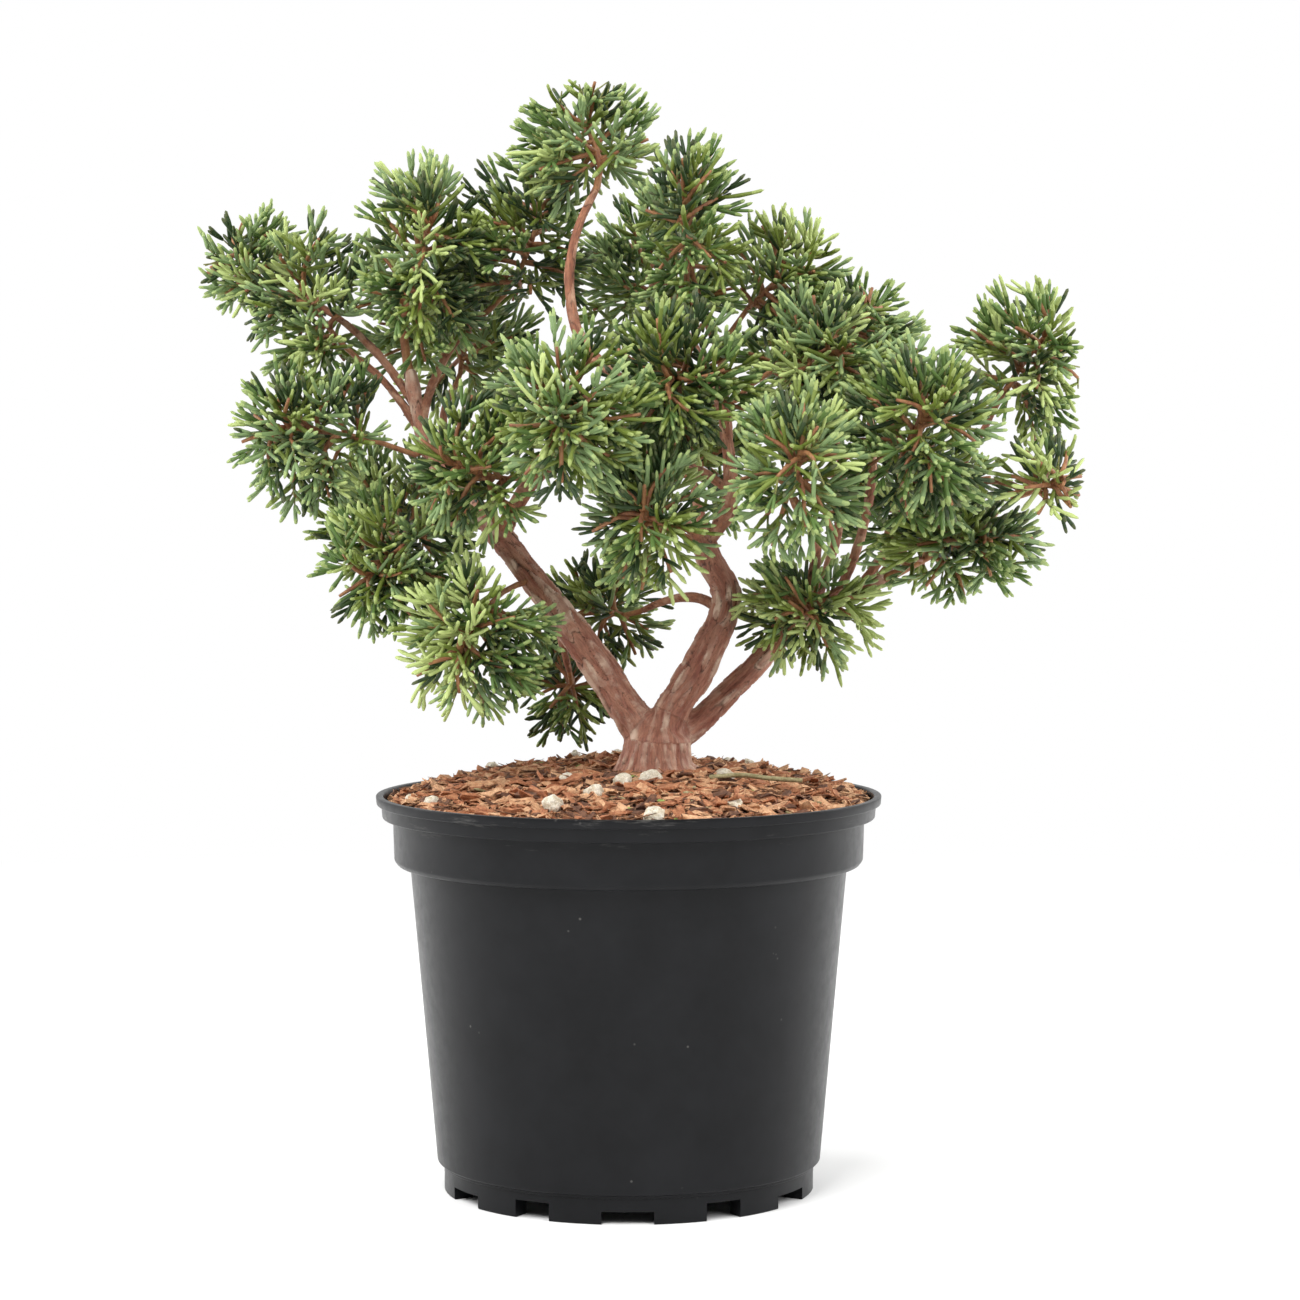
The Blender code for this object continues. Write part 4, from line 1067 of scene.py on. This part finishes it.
def plumed(mass, twig, looks, rng, stalks, cords):
    """Adds the stalks and cords of a twig's plumes, most of them in the green that the twig is dealt."""
    dealt = rng.choices(NEEDLE_NAMES, DEAL[mass.green])[0]
    for line, share in plumes_on(twig, mass, looks, rng):
        keeps = in_space(mass, line, PLUME_REACH)
        line = line[: len(line) if keeps.all() else int(np.argmin(keeps))]
        if len(line) < 3:
            continue
        stalks.append(skin(line, np.linspace(*PLUME_THICK, len(line)), STALK_SIDES))
        colour = dealt
        # Plumes near a twig's foot often take the painted shade green, a dark colour standing for shadow
        # inside the crown.
        if share < 0.35 and rng.random() < 0.4:
            colour = "shade"
        elif rng.random() < 0.2:
            colour = rng.choices(NEEDLE_NAMES, DEAL[mass.green])[0]
        cords_on(line, colour, looks, rng, cords)


def make_foliage(looks):
    """Twigs, plume stalks and cords of scale leaves on every mass, each kind joined."""
    limbs = grown_plant().values()
    rng = random.Random(SEED + 1)
    wood = np.vstack([limb.route for limb in limbs]), np.concatenate([limb.radii for limb in limbs])
    stems, stalks, cords = [], [], []
    for number, mass in enumerate(MASSES):
        route, radii = mass.stem
        nearest = wood[0][np.argmin(np.linalg.norm(wood[0] - route[0], axis=1))]
        stems.append(skin(np.vstack((nearest, route)), np.concatenate((radii[:1], radii)), STEM_SIDES))
        twigs = [route for route, _ in mass.shoots]
        for twig in twigs + finer_twigs(mass, wood, looks.fine_twigs, SEED * 300 + number):
            ends = np.vstack((twig[:-1:3], twig[-1]))
            stems.append(skin(ends, np.linspace(*TWIG_THICK, len(ends)), TWIG_SIDES))
            plumed(mass, twig, looks, rng, stalks, cords)
    twigs = skins_piece("twigs", "twig_bark", patched_look("twig_skin"), stems)
    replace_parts(twigs, *[mass.name for mass in MASSES])
    skins_piece("plume_stalks", "needles_mid", patched_look("green_stalk"), stalks)
    low, high = np.array(FRAME_BOX[0]) - PROUD, np.array(FRAME_BOX[1]) + PROUD
    for name in NEEDLE_NAMES:
        chosen = [cord for cord in cords if cord[4] == name]
        tips = cord_skins(chosen, looks, SEED)[3]
        chosen = [cord for cord, fits in zip(chosen, ((tips > low) & (tips < high)).all(axis=1)) if fits]
        colour = tuple(getattr(looks, name))
        tip = tuple(0.5 * own + 0.5 * pale for own, pale in zip(colour, looks.lime))
        # The tips of painted shade cords are darkened too, as painted shade.
        tip = tuple(0.3 * part for part in tip) if name == "shade" else tip
        skins = [needle_material(name, colour), needle_material(name + "_tips", tip)]
        parts = math.ceil(len(chosen) / MOST_CORDS)
        for part in range(parts):
            verts, faces, marks, _ = cord_skins(chosen[part::parts], looks, SEED + part)
            piece(f"needles_{name}_{part + 1}", NEEDLE_SLOTS[name], skins, verts, [faces], marks)


# Wood


def waves(grain, rng, count, across, along):
    """A smooth random field over grain places, with features about this far across and along the wood."""
    total = np.zeros(grain.shape[:-1])
    for _ in range(count):
        turn = rng.uniform(0, 2 * math.pi)
        way = np.array((math.cos(turn) / across, math.sin(turn) / across, rng.uniform(-1, 1) / along))
        total += np.sin(2 * math.pi * rng.uniform(0.6, 1.4) * (grain @ way) + rng.uniform(0, 6.3))
    return total / math.sqrt(count / 2)


def grain_at(points, route, thick, start):
    """Where points lie along a limb: places as if it were straight, its radius there, and how far off."""
    ways, across = side_ways(route)
    square = (points**2).sum(axis=1)[:, None] + (route**2).sum(axis=1)[None] - 2 * points @ route.T
    gap = np.sqrt(np.maximum(square, 0)) - thick[None]
    near = np.argmin(gap, axis=1)
    out = points - route[near]
    side = (out * across[near]).sum(axis=1)
    other = (out * np.cross(ways[near], across[near])).sum(axis=1)
    ahead = start + near * GRAIN_STEP + (out * ways[near]).sum(axis=1)
    length = np.maximum(np.hypot(side, other), 1e-6)
    places = np.stack([side / length * thick[near], other / length * thick[near], ahead], axis=1)
    return places, thick[near], gap[np.arange(len(points)), near]


def relief(grain, seed):
    """The height of bark over grain places, with how far flakes are raised and how deep the cracks are."""
    rng = np.random.default_rng(seed)
    plates, flakes, ridges, lumps = (waves(grain, rng, *kind) for kind in BARK_WAVES)
    crack = np.maximum(np.exp(-((plates / 0.13) ** 2)), 0.75 * np.exp(-((flakes / 0.12) ** 2)))
    raised = 0.6 * np.tanh(5 * plates) + 0.4 * np.tanh(4 * flakes)
    return 0.7 * raised - 0.8 * crack + 0.22 * ridges + 0.3 * lumps, raised, crack


def full_line(limbs, name):
    """A limb's route and radii from inside the wood that it grows from."""
    limb = limbs[name]
    if limb.whole is not None:
        return limb.whole
    if name == "trunk":
        return limb.route, limb.radii
    others = np.vstack([other.route for other in limbs.values() if other is not limb])
    root = others[np.argmin(np.linalg.norm(others - limb.route[0], axis=1))]
    return np.vstack((root, limb.route)), np.concatenate((limb.radii[:1], limb.radii))


def evenly(route, radii, step):
    """The route in steps of this length, its radii at them, and how far along it each is."""
    fine = even_route(route, step)
    share = np.linspace(0, 1, len(fine))
    return fine, np.interp(share, np.linspace(0, 1, len(radii)), radii), share


def welded_fork(lines, looks, bark):
    """The skins of limbs as one piece by a voxel remesh, and its bmesh smoothed, most of all at the fork."""
    welded = skins_piece("stout_bark", "bark", bark, [skin(*line, WELD_SIDES) for line in lines])
    weld = welded.modifiers.new("weld", "REMESH")
    weld.mode = "VOXEL"
    weld.voxel_size = looks.grain_size
    graph = bpy.context.evaluated_depsgraph_get()
    bm = bmesh.new()
    bm.from_mesh(welded.evaluated_get(graph).data)
    welded.modifiers.clear()
    fork = Vector(TRUNK_FORK)
    near = [vert for vert in bm.verts if (vert.co - fork).length < FORK_SPREAD]
    every_way = {"use_axis_x": True, "use_axis_y": True, "use_axis_z": True}
    for verts, times in ((near, FORK_SMOOTHING), (bm.verts, 2)):
        for _ in range(times):
            bmesh.ops.smooth_vert(bm, verts=verts, factor=0.5, **every_way)
    bm.normal_update()
    return welded, bm


def make_stout_wood(limbs, looks, bark):
    """The trunk and the main limbs as one smooth fork with its bark in relief."""
    lines = []
    for name in STOUT:
        fine, thick, share = evenly(*full_line(limbs, name), GRAIN_STEP)
        if name != "trunk":
            thick = thick * (1 + FORK_SWELL * np.exp(-share * len(fine) * GRAIN_STEP / FORK_SPREAD))
        lines.append((fine, thick))
    welded, bm = welded_fork(lines, looks, bark)
    points = np.array([vert.co for vert in bm.verts])
    normals = np.array([vert.normal for vert in bm.verts])
    found = [grain_at(points, *line, LIMB_SHIFT * number) for number, line in enumerate(lines)]
    places, radii, gaps = (np.array(column) for column in zip(*found))
    shares = np.exp(-(gaps - gaps.min(axis=0)) / FORK_BLEND)
    shares = shares / shares.sum(axis=0)
    barks = np.array([relief(place, SEED) for place in places])
    height, raised, crack = (barks * shares[:, None]).sum(axis=0)
    scale = np.minimum(looks.depth, DEPTH_SHARE * (shares * radii).sum(axis=0))
    for vert, place in zip(bm.verts, points + normals * (scale * height)[:, None]):
        vert.co = place
    bm.to_mesh(welded.data)
    bm.free()
    welded.data.shade_smooth()
    add_marks(welded, places[np.argmin(gaps, axis=0), np.arange(len(points))], raised, crack)
    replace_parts(welded, *STOUT)


def make_wood(looks):
    """The bark of the trunk, the limbs and the boughs, each standing for its own solid."""
    limbs = grown_plant()
    make_stout_wood(limbs, looks, bark_material("old_bark", *OLD_BARK))
    young = bark_material("young_bark", *YOUNG_BARK)
    for number, name in enumerate(limbs):
        if name in STOUT:
            continue
        bough = name.endswith("_bough")
        sides = BOUGH_SIDES if bough else LIMB_SIDES
        fine, thick, _ = evenly(*full_line(limbs, name), looks.grain_size * (2 if bough else 1))
        grain = grain_places(fine, thick, sides)
        height, raised, crack = relief(grain, SEED + number)
        swell = 1 + np.minimum(looks.depth / thick, DEPTH_SHARE)[:, None] * height
        slot = "twig_bark" if bough else "bark"
        made = skins_piece(name + "_bark", slot, young, [skin(fine, thick, sides, swell)])
        ends = np.zeros((2, 3))
        raised, crack = (np.append(values, ends[:, 0]) for values in (raised, crack))
        add_marks(made, np.vstack((grain.reshape(-1, 3), ends)), raised, crack)
        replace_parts(made, name)


# Pot and mulch


def make_pot(looks):
    """The pot with its stepped rim, turned and bevelled, and cut round its foot."""
    rim_bottom = POT_HEIGHT - RIM_HEIGHT
    inside = COLLAR_RADIUS - POT_WALL
    foot_inside = FOOT_RADIUS - FOOT_RING_WIDTH
    profile = (
        (0.0, FLOOR_UNDERSIDE),
        (foot_inside, FLOOR_UNDERSIDE),
        (foot_inside, 0.0),
        (FOOT_RADIUS, 0.0),
        (FOOT_RADIUS, FOOT_HEIGHT),
        (BASE_RADIUS, FOOT_HEIGHT + EDGE_ROUND),
        (BODY_TOP_RADIUS, BAND_BOTTOM),
        (BAND_RADIUS - 2 * EDGE_ROUND, BAND_BOTTOM),
        (BAND_RADIUS - EDGE_ROUND / 2, BAND_BOTTOM + 2 * EDGE_ROUND),
        (BAND_RADIUS, BAND_TOP),
        (COLLAR_RADIUS - EDGE_ROUND / 2, BAND_TOP + 0.0004),
        (COLLAR_RADIUS, rim_bottom),
        (RIM_RADIUS - EDGE_ROUND / 3, rim_bottom),
        (RIM_RADIUS, POT_HEIGHT),
        (RIM_RADIUS - 3 * EDGE_ROUND, POT_HEIGHT),
        (inside, rim_bottom),
        (inside, BAND_TOP + POT_WALL),
        (BAND_RADIUS - POT_WALL, BAND_TOP - POT_WALL / 2),
        (BAND_RADIUS - POT_WALL, BAND_BOTTOM + 2 * POT_WALL),
        (BODY_TOP_RADIUS - POT_WALL, BAND_BOTTOM - POT_WALL),
        (BASE_RADIUS - POT_WALL, FLOOR_TOP),
        (0.0, FLOOR_TOP),
    )
    bm = lathe(profile, looks.sides)
    rounded = [edge for edge in bm.edges if is_rim_edge(edge)]
    bmesh.ops.bevel(
        bm, geom=rounded, offset=looks.edge, affect="EDGES", segments=3, profile=0.5, material=-1,
        clamp_overlap=True,
    )
    made = mesh_piece("pot_shell", "pot_plastic", plastic_material(looks), bm)
    cut_foot(made)
    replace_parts(made, "pot")


def cut_foot(made):
    """Cuts the gaps and the drain slots round the pot's foot."""
    cutter = bmesh.new()
    turn = 2 * math.pi / FOOT_UNITS
    middle = FOOT_RADIUS - FOOT_RING_WIDTH / 2
    for index in range(FOOT_UNITS):
        centre = index * turn - math.pi / 2
        box(cutter, GAP_WIDTH, 2 * FOOT_RING_WIDTH, GAP_HEIGHT, centre, middle)
        box(cutter, SLOT_WIDTH, 2 * FOOT_RING_WIDTH, SLOT_HEIGHT, centre + turn / 2, middle)
    cuts = shown("foot_cuts", bpy.data.meshes.new("foot_cuts"))
    cutter.to_mesh(cuts.data)
    cutter.free()
    cut = made.modifiers.new("foot_cuts", "BOOLEAN")
    cut.object = cuts
    cut.operation = "DIFFERENCE"
    graph = bpy.context.evaluated_depsgraph_get()
    made.data = bpy.data.meshes.new_from_object(made.evaluated_get(graph))
    made.modifiers.clear()
    bpy.data.objects.remove(cuts, do_unlink=True)
    made.data.shade_smooth()
    made.data.set_sharp_from_angle(angle=math.radians(POT_SHARP_ANGLE))


def is_rim_edge(edge):
    """Whether an edge runs round the outside of the pot, level and away from its flat faces."""
    (first, low), (second, high) = ((vert.co.xy.length, vert.co.z) for vert in edge.verts)
    return first > FOOT_RADIUS - 0.0001 and abs(low - high) < 1e-6 and abs(first - second) < 1e-6


def mound(x, y):
    """The height of the mulch here: a dome, with a heap against the back of the rim."""
    radius = np.hypot(x, y)
    share = np.clip((radius - MULCH_FLAT) / (MULCH_REACH - MULCH_FLAT), 0, 1)
    return MULCH_EDGE + (MULCH_TOP - MULCH_EDGE) * (1 - share**1.4) + pile(x, y)


def pile(x, y):
    """The height of the heap at the back over an even dome."""
    inside = np.clip((MULCH_REACH - np.hypot(x, y)) / PILE_SLOPE, 0, 1)
    return inside * np.clip(y / MULCH_REACH, 0, 1) * (PILE_HEIGHT + PILE_LEAN * x)


def scatter(rng, count, least=0.0):
    """Places on the mound, evenly over its area and clear of the trunk."""
    found = []
    while len(found) < count:
        radius = math.sqrt(rng.uniform(least**2, (MULCH_REACH - 0.002) ** 2))
        angle = rng.uniform(0, 2 * math.pi)
        x, y = radius * math.cos(angle), radius * math.sin(angle)
        if math.hypot(x - TRUNK_FOOT[0], y - TRUNK_FOOT[1]) > TRUNK_ROOM:
            found.append((x, y, float(mound(x, y))))
    return np.array(found)


def kept_in(verts):
    """The points, with those that would pass through the pot's wall drawn back inside it."""
    radius = np.hypot(verts[..., 0], verts[..., 1])
    factor = np.minimum(1, (MULCH_REACH - CLEARANCE) / np.maximum(radius, 1e-6))
    return np.concatenate((verts[..., :2] * factor[..., None], verts[..., 2:]), axis=-1)


def make_bed():
    """The rough dark ground that the chips lie on: a turned mound pushed up and down by noise."""
    share = np.linspace(0, 1, BED_RINGS)[1:-1] * MULCH_REACH
    under = BAND_TOP + POT_WALL
    profile = [(0.0, MULCH_TOP - BED_DROP)]
    profile += [(radius, float(mound(radius, 0.0)) - BED_DROP) for radius in share]
    profile += [(MULCH_REACH, MULCH_EDGE - BED_DROP), (MULCH_REACH, under), (0.0, under)]
    bm = lathe(profile, BED_SIDES)
    rng = np.random.default_rng(SEED)
    verts = [vert for vert in bm.verts if vert.co.z > under + CLEARANCE]
    places = np.array([vert.co for vert in verts])
    coarse, fine = (height * waves(places, rng, count, size, size) for height, count, size in BED_WAVES)
    lift = coarse + fine + pile(places[:, 0], places[:, 1])
    for vert, up in zip(verts, lift):
        vert.co.z += up
    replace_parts(mesh_piece("mulch_bed", "bark_mulch", patched_look("mulch_bed"), bm), "soil")


def chip_skins(rng, count, lengths):
    """Split slivers of bark: bent tapering slabs that lie nearly flat, turned every way."""
    places = scatter(rng, count)
    length = rng.uniform(*lengths, count) * rng.uniform(0.55, 1.0, count)
    width = np.clip(length * rng.uniform(*CHIP_WIDTH[0], count), *CHIP_WIDTH[1])
    thick = np.clip(width * rng.uniform(*CHIP_THICK[0], count), *CHIP_THICK[1])
    turn = rng.uniform(0, 6.3, count)
    tilt, roll = rng.normal(0, CHIP_TILT, count), rng.normal(0, CHIP_ROLL, count)
    along = np.stack([np.cos(turn) * np.cos(tilt), np.sin(turn) * np.cos(tilt), np.sin(tilt)], axis=1)
    level = np.stack([-np.sin(turn), np.cos(turn), np.zeros(count)], axis=1)
    up = np.cross(along, level)
    side = level * np.cos(roll)[:, None] + up * np.sin(roll)[:, None]
    up = up * np.cos(roll)[:, None] - level * np.sin(roll)[:, None]
    corners = []
    for step in (-0.5, -0.17, 0.17, 0.5):
        taper = 1 - abs(step) * rng.uniform(0.2, 1.6, count)
        bend = (rng.normal(0, 0.05, count) * length)[:, None] * up
        sway = (rng.normal(0, 0.04, count) * length)[:, None] * side
        for across, above in ((-0.5, -0.5), (0.5, -0.5), (0.5, 0.5), (-0.5, 0.5)):
            place = along * (length * step * rng.uniform(0.85, 1.1, count))[:, None] + bend + sway
            place = place + side * (width * across * taper * rng.uniform(0.75, 1.25, count))[:, None]
            corners.append(place + up * (thick * above * taper)[:, None])
    verts = kept_in(places[:, None] + CHIP_RISE * UP + np.stack(corners, axis=1))
    faces = [(3, 2, 1, 0), (12, 13, 14, 15)]
    for low in (0, 4, 8):
        for index in range(4):
            after = (index + 1) % 4
            faces.append((low + index, low + after, low + 4 + after, low + 4 + index))
    every = np.array(faces)[None] + 16 * np.arange(count)[:, None, None]
    return verts.reshape(-1, 3), every.reshape(-1, 4)


def thread(rng, length, thick, sides):
    """A thin bent thread lying on the mulch."""
    start = scatter(rng, 1)[0]
    turn = rng.uniform(0, 6.3)
    way = np.array((math.cos(turn), math.sin(turn), rng.uniform(-0.05, 0.3)))
    bend = np.array((-math.sin(turn), math.cos(turn), rng.uniform(-0.4, 0.2))) * rng.uniform(-0.5, 0.5)
    share = np.linspace(-0.5, 0.5, 7)[:, None]
    line = kept_in(start + (0, 0, 0.0010) + way * length * share + bend * length * share**2)
    return skin(line, thick * np.array((0.5, 0.9, 1.0, 1.0, 0.95, 0.8, 0.3)), sides)


def threads_of(rng, count, lengths, radii, sides):
    """Many threads, with their lengths and radii drawn between these."""
    return [thread(rng, rng.uniform(*lengths), rng.uniform(*radii), sides) for _ in range(count)]


def make_stones(rng, count):
    """Pale pumice stones, lumpy and irregular, some in front of the trunk and the rest anywhere."""
    bm = bmesh.new()
    places = [(x, y, float(mound(x, y))) for x, y in STONE_PLACES]
    places += [tuple(place) for place in scatter(rng, count - len(places), 0.03)]
    for place in places:
        verts = bmesh.ops.create_icosphere(bm, subdivisions=3, radius=1.0)["verts"]
        shape = np.array([vert.co for vert in verts])
        lump = 1 + 0.10 * waves(shape, rng, 10, 1.6, 1.6) + 0.04 * waves(shape, rng, 12, 0.5, 0.5)
        for vert, factor in zip(verts, lump):
            vert.co *= factor
        size = rng.uniform(0.0020, 0.0038) * rng.uniform(0.7, 1.3, 3)
        bmesh.ops.scale(bm, vec=size, verts=verts)
        bmesh.ops.rotate(bm, cent=(0, 0, 0), matrix=Matrix.Rotation(rng.uniform(0, 6.3), 3, "Z"), verts=verts)
        bmesh.ops.translate(bm, vec=(place[0], place[1], place[2] + 0.5 * size[2]), verts=verts)
    mesh_piece("pumice", "bark_mulch", patched_look("pumice"), bm)


def make_mulch(looks):
    """The bed of bark mulch with chips, threads, stones and fallen bits lying on it."""
    make_bed()
    rng = np.random.default_rng(SEED)
    for name, share in CHIP_KINDS.items():
        verts, quads = chip_skins(rng, round(looks.chips * share), (SHORTEST_CHIP, looks.longest_chip))
        piece(name, "bark_mulch", [patched_look(name)], verts, [quads], smooth=False)
    threads = threads_of(rng, looks.threads, *THREADS)
    skins_piece("mulch_threads", "bark_mulch", patched_look("bark_threads"), threads)
    make_stones(rng, looks.stones)
    fallen = threads_of(rng, looks.fallen, *FALLEN)
    third = len(fallen) // 3
    skins_piece("fallen_green", "needles_yellow", patched_look("fallen_green"), fallen[:third])
    twig = smooth_route(FALLEN_TWIG)[::3]
    fallen.append(skin(twig, np.full(len(twig), FALLEN_TWIG_RADIUS), 7))
    skins_piece("fallen_dry", "bark_mulch", patched_look("fallen_dry"), fallen[third:])


# Stage


def make_stage(looks):
    """The floor, the lamps, the surround and the camera."""
    make_floor()
    for name, place, size, power in LAMPS:
        data = bpy.data.lights.new(name, "AREA")
        data.shape = "SQUARE"
        data.size = size
        data.energy = power * looks.lamps
        aim = Vector(LAMP_AIM) - Vector(place)
        shown(name, data, place, aim.to_track_quat("-Z", "Y").to_euler())
    make_surround(looks.surround)
    data = bpy.data.cameras.new("camera")
    data.sensor_width = CAMERA_SENSOR
    data.lens = looks.lens
    scene = bpy.context.scene
    scene.camera = shown("camera", data, CAMERA_PLACE, (math.radians(90 - CAMERA_DIP), 0, 0))
    scene.view_settings.view_transform = "Standard"


def make_floor():
    """A flat pale floor that the camera sees fade to white some way out."""
    pale, tree, shader = shader_of("pale_floor", 0.9)
    shader.inputs["Base Color"].default_value = (0.86, 0.86, 0.855, 1)
    shader.inputs["Specular IOR Level"].default_value = 0.1
    places = {0: object_places(tree)}
    distance = put(tree, "ShaderNodeVectorMath", places, operation="LENGTH").outputs["Value"]
    seen = put(tree, "ShaderNodeLightPath").outputs["Is Camera Ray"]
    far = maths(tree, "MULTIPLY", spread(tree, distance, *FLOOR_FADE), seen)
    white = put(tree, "ShaderNodeEmission", {"Strength": 1.0}).outputs["Emission"]
    blend = put(tree, "ShaderNodeMixShader", {0: far, 1: shader.outputs["BSDF"], 2: white})
    tree.links.new(blend.outputs["Shader"], tree.nodes["Material Output"].inputs["Surface"])
    bm = bmesh.new()
    bmesh.ops.create_grid(bm, x_segments=1, y_segments=1, size=FLOOR_SIZE)
    mesh = bpy.data.meshes.new("floor")
    bm.to_mesh(mesh)
    bm.free()
    mesh.materials.append(pale)
    shown("floor", mesh)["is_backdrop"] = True


def make_surround(strength):
    """A white world that lights and mirrors less from in front, so that the pot's middle stays dark."""
    world = bpy.data.worlds.new("soft_white")
    world.use_nodes = True
    tree = world.node_tree
    way = put(tree, "ShaderNodeTexCoord").outputs["Generated"]
    ahead = put(tree, "ShaderNodeSeparateXYZ", {"Vector": way}).outputs["Y"]
    values = {
        "Factor": put(tree, "ShaderNodeLightPath").outputs["Is Camera Ray"],
        "A": spread(tree, ahead, *FRONT, FRONT_SHARE * strength, strength),
        "B": 1.0,
    }
    white = put(tree, "ShaderNodeMix", values, data_type="FLOAT").outputs["Result"]
    tree.links.new(white, tree.nodes["Background"].inputs["Strength"])
    tree.nodes["Background"].inputs["Color"].default_value = (1, 1, 1, 1)
    bpy.context.scene.world = world


# The add-on: what a user may change, a button for each group of pieces, and the panel that lists them


def kind_of(kind, **settings):
    """A short way to properties of one kind, from their name, description and default."""
    return lambda name, description, default: kind(
        name=name, description=description, default=default, **settings
    )


length_of = kind_of(FloatProperty, min=0, precision=5, unit="LENGTH")
number_of = kind_of(IntProperty, min=1)
colour_of = kind_of(FloatVectorProperty, subtype="COLOR", min=0, max=1)
strength_of = kind_of(FloatProperty, min=0)


class JuniperPotLooks(bpy.types.PropertyGroup):
    """The pot's make."""

    sides: number_of("Sides", "Steps round the pot", 144)
    edge: length_of("Edge", "Rounding of the pot's rim and steps", 0.0005)
    plastic: colour_of("Plastic", "Colour of the moulded plastic", (0.0075, 0.0078, 0.0088))
    dust: colour_of("Dust", "Colour of the dust in scuffs and specks", (0.30, 0.29, 0.27))


class JuniperMulchLooks(bpy.types.PropertyGroup):
    """The mulch's make."""

    chips: number_of("Chips", "Slivers of bark on the mulch", 3000)
    longest_chip: length_of("Longest chip", "Length of the longest sliver", 0.0170)
    threads: number_of("Threads", "Thin threads of bark on the mulch", 650)
    stones: number_of("Stones", "Pale stones on the mulch", 16)
    fallen: number_of("Fallen bits", "Bits of foliage on the mulch", 60)


class JuniperWoodLooks(bpy.types.PropertyGroup):
    """The bark's make."""

    grain_size: length_of("Grain size", "Between the points of the bark's surface", 0.0006)
    depth: length_of("Relief", "How far flakes of bark stand out on a thick limb", 0.0008)


class JuniperFoliageLooks(bpy.types.PropertyGroup):
    """The foliage's make."""

    fine_twigs: number_of("Finer twigs", "Twigs in each mass past those of its solid", 14)
    plume_step: length_of("Plume step", "Between plumes along a twig", 0.0043)
    plume_length: length_of("Plume length", "Length of a plume's stalk", 0.0165)
    cord_step: length_of("Cord step", "Between cords of scale leaves along a plume", 0.0024)
    cord_length: length_of("Cord length", "Length of a cord of scale leaves", 0.0105)
    cord_radius: length_of("Cord radius", "Thickness of a cord of scale leaves, from its middle", 0.00080)
    glaucous: colour_of("Glaucous", "Blue-green of the upper sprays", (0.176, 0.256, 0.104))
    green: colour_of("Green", "Plain green sprays", (0.088, 0.152, 0.036))
    olive: colour_of("Olive", "Yellow-green near the twigs", (0.140, 0.185, 0.030))
    lime: colour_of("Lime", "Pale yellow-green of new growth", (0.400, 0.480, 0.170))
    # Painted shade: a dark green standing for the shadow inside the crown.
    shade: colour_of("Shade", "Dark green inside the crown", (0.026, 0.050, 0.015))


class JuniperStageLooks(bpy.types.PropertyGroup):
    """The stage's make."""

    lens: FloatProperty(name="Lens", description="Focal length of the camera", default=99.7, unit="CAMERA")
    lamps: strength_of("Lamps", "Strength of all lamps together", 1.0)
    surround: strength_of("Surround", "Strength of the white surround", 0.95)


class JUNIPER_OT_pot(bpy.types.Operator):
    """Make the pot"""

    bl_idname = "juniper.pot"
    bl_label = "Pot"

    def execute(self, context):
        make_pot(context.scene.juniper_pot)
        return {"FINISHED"}


class JUNIPER_OT_mulch(bpy.types.Operator):
    """Make the bark mulch and what lies on it"""

    bl_idname = "juniper.mulch"
    bl_label = "Mulch"

    def execute(self, context):
        make_mulch(context.scene.juniper_mulch)
        return {"FINISHED"}


class JUNIPER_OT_wood(bpy.types.Operator):
    """Make the bark of the trunk, limbs and boughs"""

    bl_idname = "juniper.wood"
    bl_label = "Wood"

    def execute(self, context):
        make_wood(context.scene.juniper_wood)
        return {"FINISHED"}


class JUNIPER_OT_foliage(bpy.types.Operator):
    """Make the twigs and sprays of every mass"""

    bl_idname = "juniper.foliage"
    bl_label = "Foliage"

    def execute(self, context):
        make_foliage(context.scene.juniper_foliage)
        return {"FINISHED"}


class JUNIPER_OT_stage(bpy.types.Operator):
    """Make the floor, the light and the camera"""

    bl_idname = "juniper.stage"
    bl_label = "Stage"

    def execute(self, context):
        make_stage(context.scene.juniper_stage)
        return {"FINISHED"}


class JUNIPER_PT_sidebar(bpy.types.Panel):
    """The panel in the 3D view's sidebar"""

    bl_label = "Potted juniper"
    bl_idname = "JUNIPER_PT_sidebar"
    bl_space_type = "VIEW_3D"
    bl_region_type = "UI"
    bl_category = "Juniper"

    def draw(self, context):
        for group, (_, operator) in GROUPS.items():
            box_of = self.layout.box()
            looks = getattr(context.scene, "juniper_" + group)
            for name in looks.bl_rna.properties.keys():
                if name not in ("rna_type", "name"):
                    box_of.prop(looks, name)
            box_of.operator(operator.bl_idname)


GROUPS = {
    "pot": (JuniperPotLooks, JUNIPER_OT_pot),
    "mulch": (JuniperMulchLooks, JUNIPER_OT_mulch),
    "wood": (JuniperWoodLooks, JUNIPER_OT_wood),
    "foliage": (JuniperFoliageLooks, JUNIPER_OT_foliage),
    "stage": (JuniperStageLooks, JUNIPER_OT_stage),
}


def register():
    for group, (looks, operator) in GROUPS.items():
        bpy.utils.register_class(looks)
        bpy.utils.register_class(operator)
        setattr(bpy.types.Scene, "juniper_" + group, PointerProperty(type=looks))
    bpy.utils.register_class(JUNIPER_PT_sidebar)


def unregister():
    bpy.utils.unregister_class(JUNIPER_PT_sidebar)
    for group, (looks, operator) in reversed(GROUPS.items()):
        delattr(bpy.types.Scene, "juniper_" + group)
        bpy.utils.unregister_class(operator)
        bpy.utils.unregister_class(looks)


def main():
    register()
    bpy.ops.juniper.pot()
    bpy.ops.juniper.mulch()
    bpy.ops.juniper.wood()
    bpy.ops.juniper.foliage()
    bpy.ops.juniper.stage()
    boxes = {"frame": FRAME_BOX, "final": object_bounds()}
    {name: [list(corner) for corner in box] for name, box in boxes.items()}


if __name__ == "__main__":
    main()
